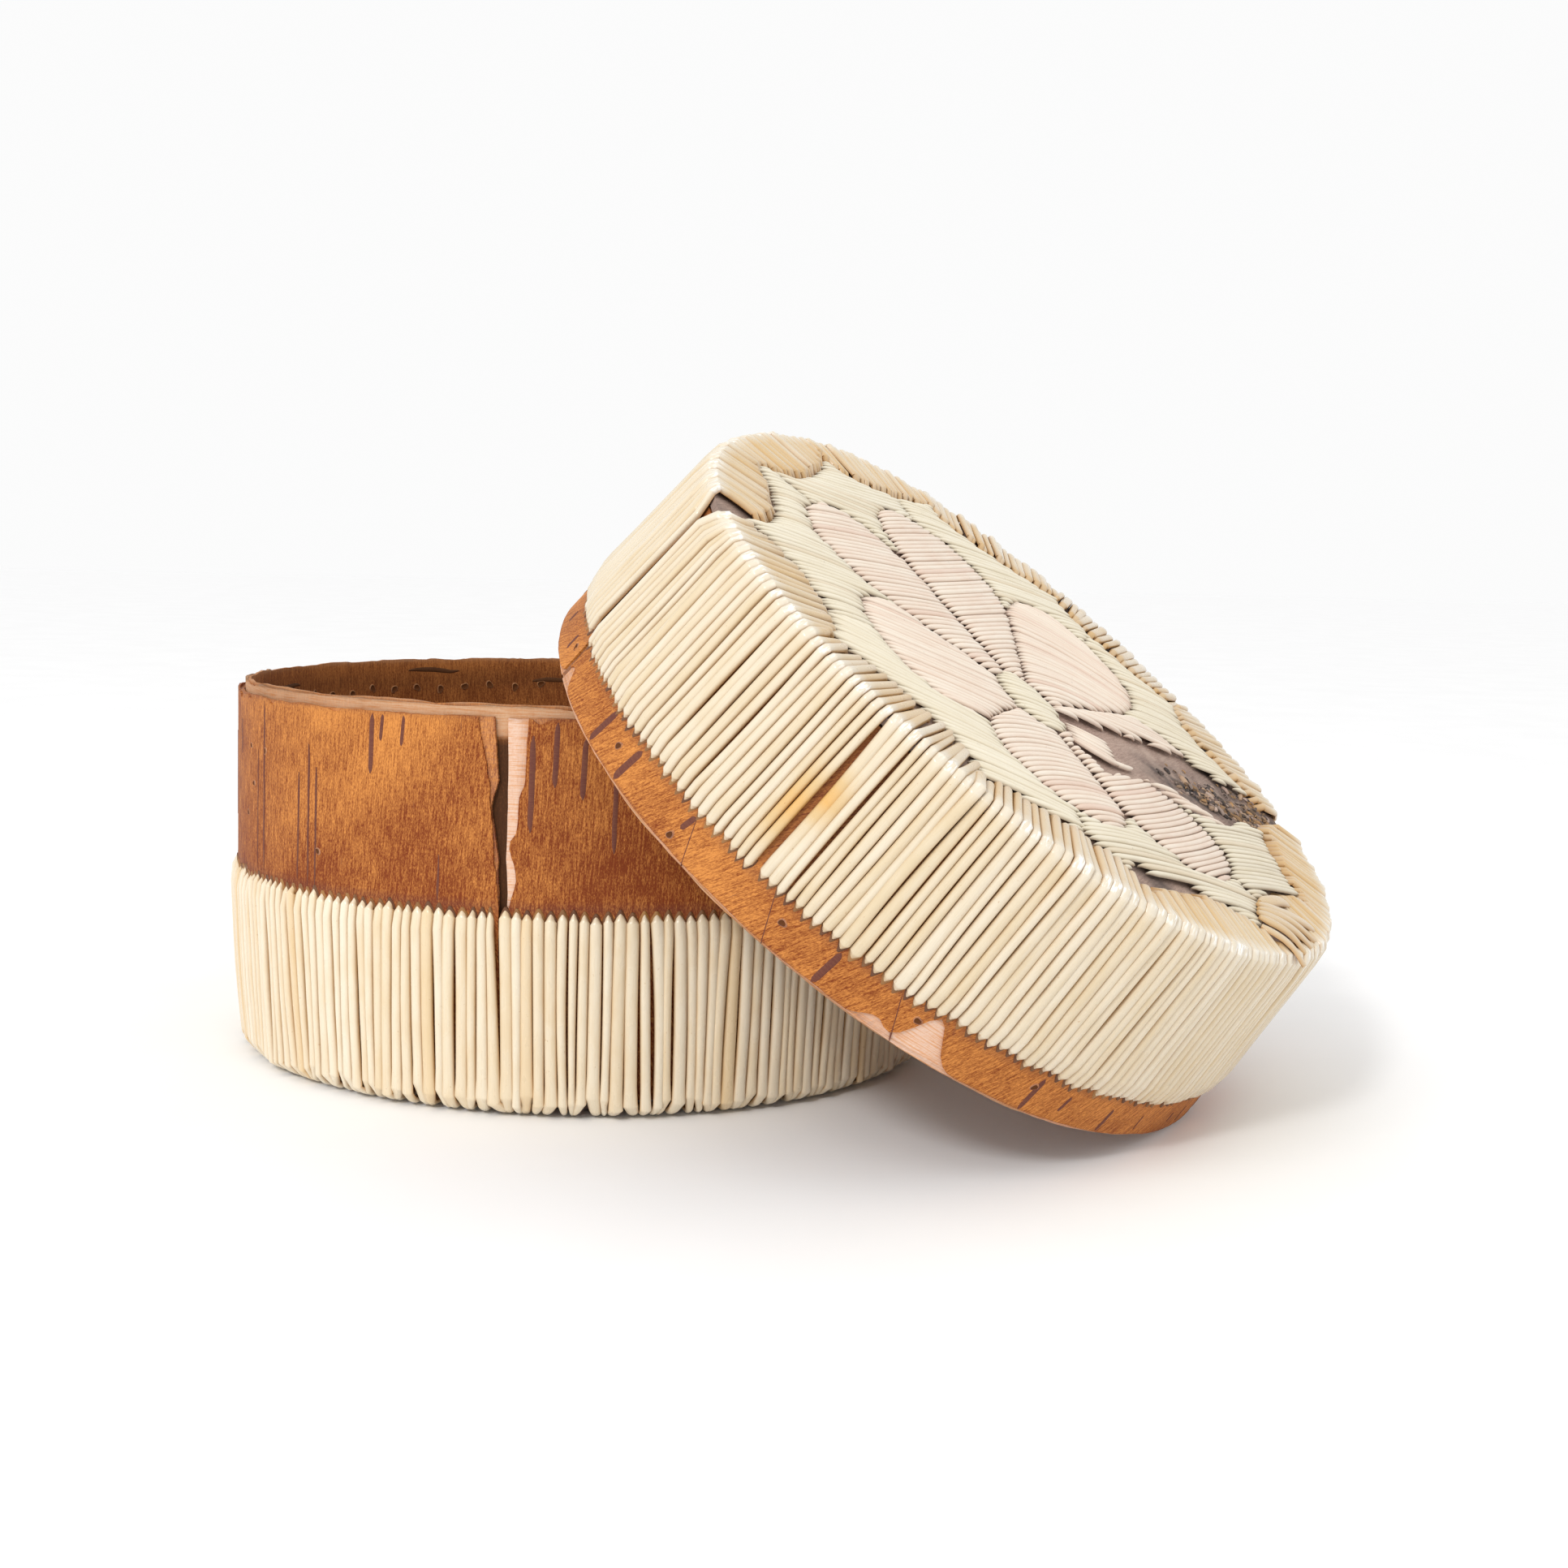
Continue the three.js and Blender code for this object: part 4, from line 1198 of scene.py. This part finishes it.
def field_patch(name, slot, direction, bow, overlap, sink, extras=()):
    """Quills laid side by side over one patch, their points reaching a little over its edge."""
    skin = Skin()
    chance = dice("field", name)
    heading = np.array([math.cos(math.radians(direction)), math.sin(math.radians(direction))])
    side = np.array([-heading[1], heading[0]])
    along = np.arange(-MOST_REACH, MOST_REACH, SAMPLE)
    lines = np.arange(-MOST_REACH, MOST_REACH, FIELD_PITCH) + chance.uniform(0, FIELD_PITCH)
    for number, offset in enumerate(lines):
        drift = offset + bow * (along / 30) ** 2 + chance.normal(0, 0.05)
        places = along[:, None] * heading + drift[:, None] * side
        for first, last in runs(patch_at(places) == name):
            if (last - first) * SAMPLE < SHORTEST_QUILL:
                continue
            ends = overlap * chance.uniform(0.2, 1.6, 2) / SAMPLE
            first = max(0, first - round(ends[0]))
            last = min(len(places), last + round(ends[1]))
            field_quill(skin, chance, places[first:last], number, sink)
    for start, stop, lift in extras:
        part = np.linspace(0, 1, 60)[:, None]
        sweep = np.array(start) + (np.array(stop) - start) * part
        sweep[:, 0] += 0.8 * np.sin(math.pi * part[:, 0])
        field_quill(skin, chance, sweep, 7, 0.2, lift)
    make_piece(f"split_{name}", skin, "lid", name, slot)


def field_quill(skin, chance, places, number, sink, lift=0.0):
    """One quill of the top, its ends sunk into the bark and its middle a little pillowed."""
    length = np.linalg.norm(places[-1] - places[0])
    steps = max(7, math.ceil(length / 1.3)) + 1
    part = (1 - np.cos(np.linspace(0, math.pi, steps))) / 2
    if length > 12:
        part = 0.5 * part + 0.5 * np.linspace(0, 1, steps)
    where = part * (len(places) - 1)
    x = np.interp(where, np.arange(len(places)), places[:, 0])
    y = np.interp(where, np.arange(len(places)), places[:, 1])
    from_end = np.minimum(part, 1 - part) * length
    rise = 1 - np.exp(-np.clip(from_end, 0, None) / 0.8)
    point = np.clip(from_end / 2.2, 0.02, 1) ** 0.6
    pillow = 0.3 * np.sin(math.pi * part) * min(1, length / 12)
    height = LID_CREASE[1] - sink * (1 - rise) + pillow - 0.12 + chance.normal(0, 0.06) + lift
    crest = np.stack([x, y, height], axis=-1)
    dusty = np.clip((x + 0.3 * y - 8) / 38, 0, 1)
    # The ends darken with painted shade where they sink into the bark and crease paints shade between quills;
    # towards the worn strip they are dusty.
    add_quill(
        skin,
        crest,
        UPWARD,
        FIELD_PITCH * chance.uniform(0.94, 1.07) * point,
        FIELD_QUILL_HEIGHT * (0.5 + 0.5 * point),
        chance.uniform(0, 0.8) + 0.3 * dusty,
        0.6 * (1 - rise) ** 1.7 + 0.16 * dusty * chance.uniform(0.3, 1.4),
        0.35 * (chance.random() < 0.1) + 0.1 * (1 - rise),
        number + chance.uniform(0, 300),
        crease=0.55 + 0.25 * dusty[:, None],
    )


STRIP_DIRECTION = 61.0  # the worn petal's quills run along the bare strip
GROUND_OVERLAP, GROUND_SINK = 0.75, 0.45
PETAL_OVERLAP, PETAL_SINK = 0.3, 0.65
# Petal quills left lying over the worn bark: where each starts and stops, and how high it lies.
REMNANTS = [((8.4 + 0.5 * k, -5.0 - 0.75 * k), (13.6 + 0.75 * k, 2.6 - 0.9 * k), -0.15) for k in range(6)]
STRAY = ((15.2, -3.8), (18.4, 3.2), -0.35)


def quilled_top():
    """The flower's heart, the ground round it and its petals, the first of them in two halves."""
    chance = dice("top")
    field_patch("lid_flower_heart", "ground_quill", FIELD_DIRECTION - 8, 2, PETAL_OVERLAP, PETAL_SINK)
    for index in range(PETAL_COUNT):
        name = f"lid_ground_quills_{index + 1}"
        direction, bow = FIELD_DIRECTION + chance.normal(0, 5), chance.normal(0, 3)
        field_patch(name, "ground_quill", direction, bow, GROUND_OVERLAP, GROUND_SINK)
    for index in range(PETAL_COUNT):
        for half in ["1a", "1b"] if index == 0 else [str(index + 1)]:
            name = f"lid_petal_quills_{half}"
            direction, bow = FIELD_DIRECTION + chance.normal(0, 7), chance.normal(0, 4)
            if index == 0:
                direction, bow = STRIP_DIRECTION, 0.5
            extras = [*REMNANTS, STRAY] if half == "1a" else ()
            field_patch(name, "petal_quill", direction, bow, PETAL_OVERLAP, PETAL_SINK, extras)


quilled_top()

STRIP_FROM, STRIP_TO = np.array([13.0, -4.0]), np.array([41.0, 45.0])
EDGE_HOLE = (-33, -41)  # soot has gathered on the bark in the hole over the seam and in the slit
SLIT = (36, -28)


def along_strip(plan):
    """How far along the bare strip a place is, from 0 to 1, and how far to its side."""
    run = STRIP_TO - STRIP_FROM
    length = np.linalg.norm(run)
    arm = plan - STRIP_FROM
    return (arm @ run) / length**2, (arm[..., 0] * run[1] - arm[..., 1] * run[0]) / length


def top_wear(plan):
    """Soot across the bare strip, in its outer half, and round the hole and the slit."""
    part, aside = along_strip(plan)
    soot = 1.2 * bell(part - 0.42, 0.15) * bell(aside + 1, 4.5) + 0.6 * np.clip((part - 0.5) * 6, 0, 1)
    for place, depth, width in [(EDGE_HOLE, 0.35, 7), (SLIT, 0.55, 9)]:
        soot = soot + depth * bell(np.hypot(plan[..., 0] - place[0], plan[..., 1] - place[1]), width)
    noise = lumps(plan, 1.6, 0.8, "dirt") + lumps(plan, 0.5, 0.6, "fine dirt")
    tan = 0.15 + lumps(plan, 3, 0.5, "pale") + lumps(plan, 0.9, 0.7, "flakes") * np.clip(part * 3, 0, 1)
    return masks(0.6 + lumps(plan, 6, 0.4, "top tone"), soot * (0.85 + noise), tan)


CRUMBS = 650
RUBBLE_REACH = 52.5  # no crumb lies further out than this


def rubble(skin):
    """Crumbs of bark and quill lying along the bare strip."""
    chance = dice("rubble")
    for _ in range(CRUMBS):
        part = chance.uniform(0.36, 1.04) ** 0.85
        plan = STRIP_FROM + (STRIP_TO - STRIP_FROM) * part + chance.normal(0, 1, 2) * (2.0 + 1.6 * part)
        if not within(plan, BARE_OUTLINES[0]) or np.linalg.norm(plan) > RUBBLE_REACH:
            continue
        size = 0.25 + chance.exponential(0.38)
        heading = chance.uniform(0, 2 * math.pi)
        step = np.linspace(-1, 1, 5)
        crest = np.stack(
            [
                plan[0] + step * size * math.cos(heading),
                plan[1] + step * size * math.sin(heading),
                TOP_UNDERSIDE + chance.uniform(0, 0.55) - 0.25 * size * step**2,
            ],
            axis=-1,
        )
        add_quill(
            skin,
            crest,
            UPWARD,
            size * chance.uniform(0.6, 1.3) * np.sqrt(np.clip(1 - step**2, 0.06, 1)),
            0.45 * size,
            chance.uniform(0, 1),
            chance.uniform(0, 1) ** 1.2,
            chance.choice([0.0, 0.5, 1.5, 2.0]),
            chance.uniform(0, 99),
            pinch=0.4,
            crease=0.5,
        )


bark_disc(
    "disc_lid_top", "lid_top_bark", "lid", LID_WALL_TOP[0], LID_WALL_TOP[1] + GAP,
    LID_WALL_TOP[1] + GAP + DISC_BARK, LID_WAVES, "bottom_bark", top_wear, 170, rubble,
)
bark_disc(
    "disc_lid_lining", "lid_top_lining", "lid", LID_WALL_TOP[0] - WALL_BARK - 2 * GAP, LID_LINER_TOP + GAP,
    LID_LINER_TOP + GAP + DISC_BARK, LID_WAVES, "liner_bark", plain_wear(0.45, 0.05),
)

# ---- Floor, light and camera ----

HORIZON = 0.97  # brightness of the surround, level and overhead
ZENITH = 0.9
KEY_STRENGTH = 0.4
GLINT_POWER = 2.5
LIT_PLACE = (0.03, -0.02, 0.03)  # the lamps point here


def flat_square(name, size):
    half = size / 2
    mesh = bpy.data.meshes.new(name)
    corners = [(-half, -half, 0), (half, -half, 0), (half, half, 0), (-half, half, 0)]
    mesh.from_pydata(corners, [], [(0, 1, 2, 3)])
    square = bpy.data.objects.new(name, mesh)
    bpy.context.scene.collection.objects.link(square)
    return square


def make_floor():
    floor = flat_square("floor", 6.0)
    floor.location.z = -0.0002
    g = Graph("pale_floor")
    grain = g.add("ShaderNodeTexCoord").outputs["Object"]
    mottle = g.noise(g.stretched(grain, (30, 30, 30)))
    colour = g.mix(g.between(mottle, 0.3, 0.7), (0.95, 0.95, 0.95), (0.97, 0.97, 0.97))
    g.finish(colour, 0.85, g.bump(mottle, 0.05, 0.1), Specular_IOR_Level=0.2)
    floor.data.materials.append(g.material)


def lamp_at(light, place, aim):
    lamp = bpy.data.objects.new(light.name, light)
    direction = np.array(aim, float) - np.array(place, float)
    back = unit(-direction)
    right = unit(np.cross([0, 0, 1.0], back))
    turn = Matrix(np.column_stack([right, np.cross(back, right), back]).tolist())
    lamp.matrix_world = Matrix.Translation(place) @ turn.to_4x4()
    bpy.context.scene.collection.objects.link(lamp)


def sun_light(name, place, aim, softness, strength):
    light = bpy.data.lights.new(name, "SUN")
    light.angle = math.radians(softness)
    light.energy = strength
    lamp_at(light, place, aim)


def area_light(name, place, aim, size, power):
    light = bpy.data.lights.new(name, "AREA")
    light.size = size
    light.energy = power
    lamp_at(light, place, aim)


def light_scene():
    """A white surround, dimmer overhead, and a key light from the upper left."""
    world = bpy.data.worlds.new("studio")
    world.use_nodes = True
    nodes = world.node_tree.nodes
    links = world.node_tree.links
    place = nodes.new("ShaderNodeTexCoord")
    split = nodes.new("ShaderNodeSeparateXYZ")
    ramp = nodes.new("ShaderNodeMapRange")
    links.new(place.outputs["Generated"], split.inputs["Vector"])
    links.new(split.outputs["Z"], ramp.inputs["Value"])
    for socket, value in {"From Min": 0.25, "From Max": 0.6, "To Min": HORIZON, "To Max": ZENITH}.items():
        ramp.inputs[socket].default_value = value
    links.new(ramp.outputs["Result"], nodes["Background"].inputs["Strength"])
    nodes["Background"].inputs["Color"].default_value = (1.0, 1.0, 1.0, 1)
    bpy.context.scene.world = world
    sun_light("key", (-0.6, -0.62, 0.95), LIT_PLACE, 22, KEY_STRENGTH)
    area_light("glint", (-0.35, -0.7, 0.55), LIT_PLACE, 0.12, GLINT_POWER)
    bpy.context.scene.view_settings.view_transform = "Standard"


CAMERA_PLACE = (0.0, -0.3126, 0.0774)
CAMERA_YAW = 5.412  # degrees towards +X
CAMERA_PITCH = 6.969  # degrees down
CAMERA_ROLL = 1.405
CAMERA_LENS = 46.13


def make_camera():
    yaw, pitch, roll = (math.radians(a) for a in (CAMERA_YAW, CAMERA_PITCH, CAMERA_ROLL))
    ahead = np.array([math.sin(yaw) * math.cos(pitch), math.cos(yaw) * math.cos(pitch), -math.sin(pitch)])
    level = np.array([math.cos(yaw), -math.sin(yaw), 0.0])
    above = np.cross(level, ahead)
    right = level * math.cos(roll) + above * math.sin(roll)
    up = above * math.cos(roll) - level * math.sin(roll)
    camera = bpy.data.objects.new("camera", bpy.data.cameras.new("camera"))
    camera.data.lens = CAMERA_LENS
    camera.data.sensor_width = 36.0
    camera.data.clip_start = 0.01
    turn = Matrix(np.column_stack([right, up, -ahead]).tolist())
    camera.matrix_world = Matrix.Translation(CAMERA_PLACE) @ turn.to_4x4()
    bpy.context.scene.collection.objects.link(camera)
    bpy.context.scene.camera = camera


make_floor()
light_scene()
make_camera()
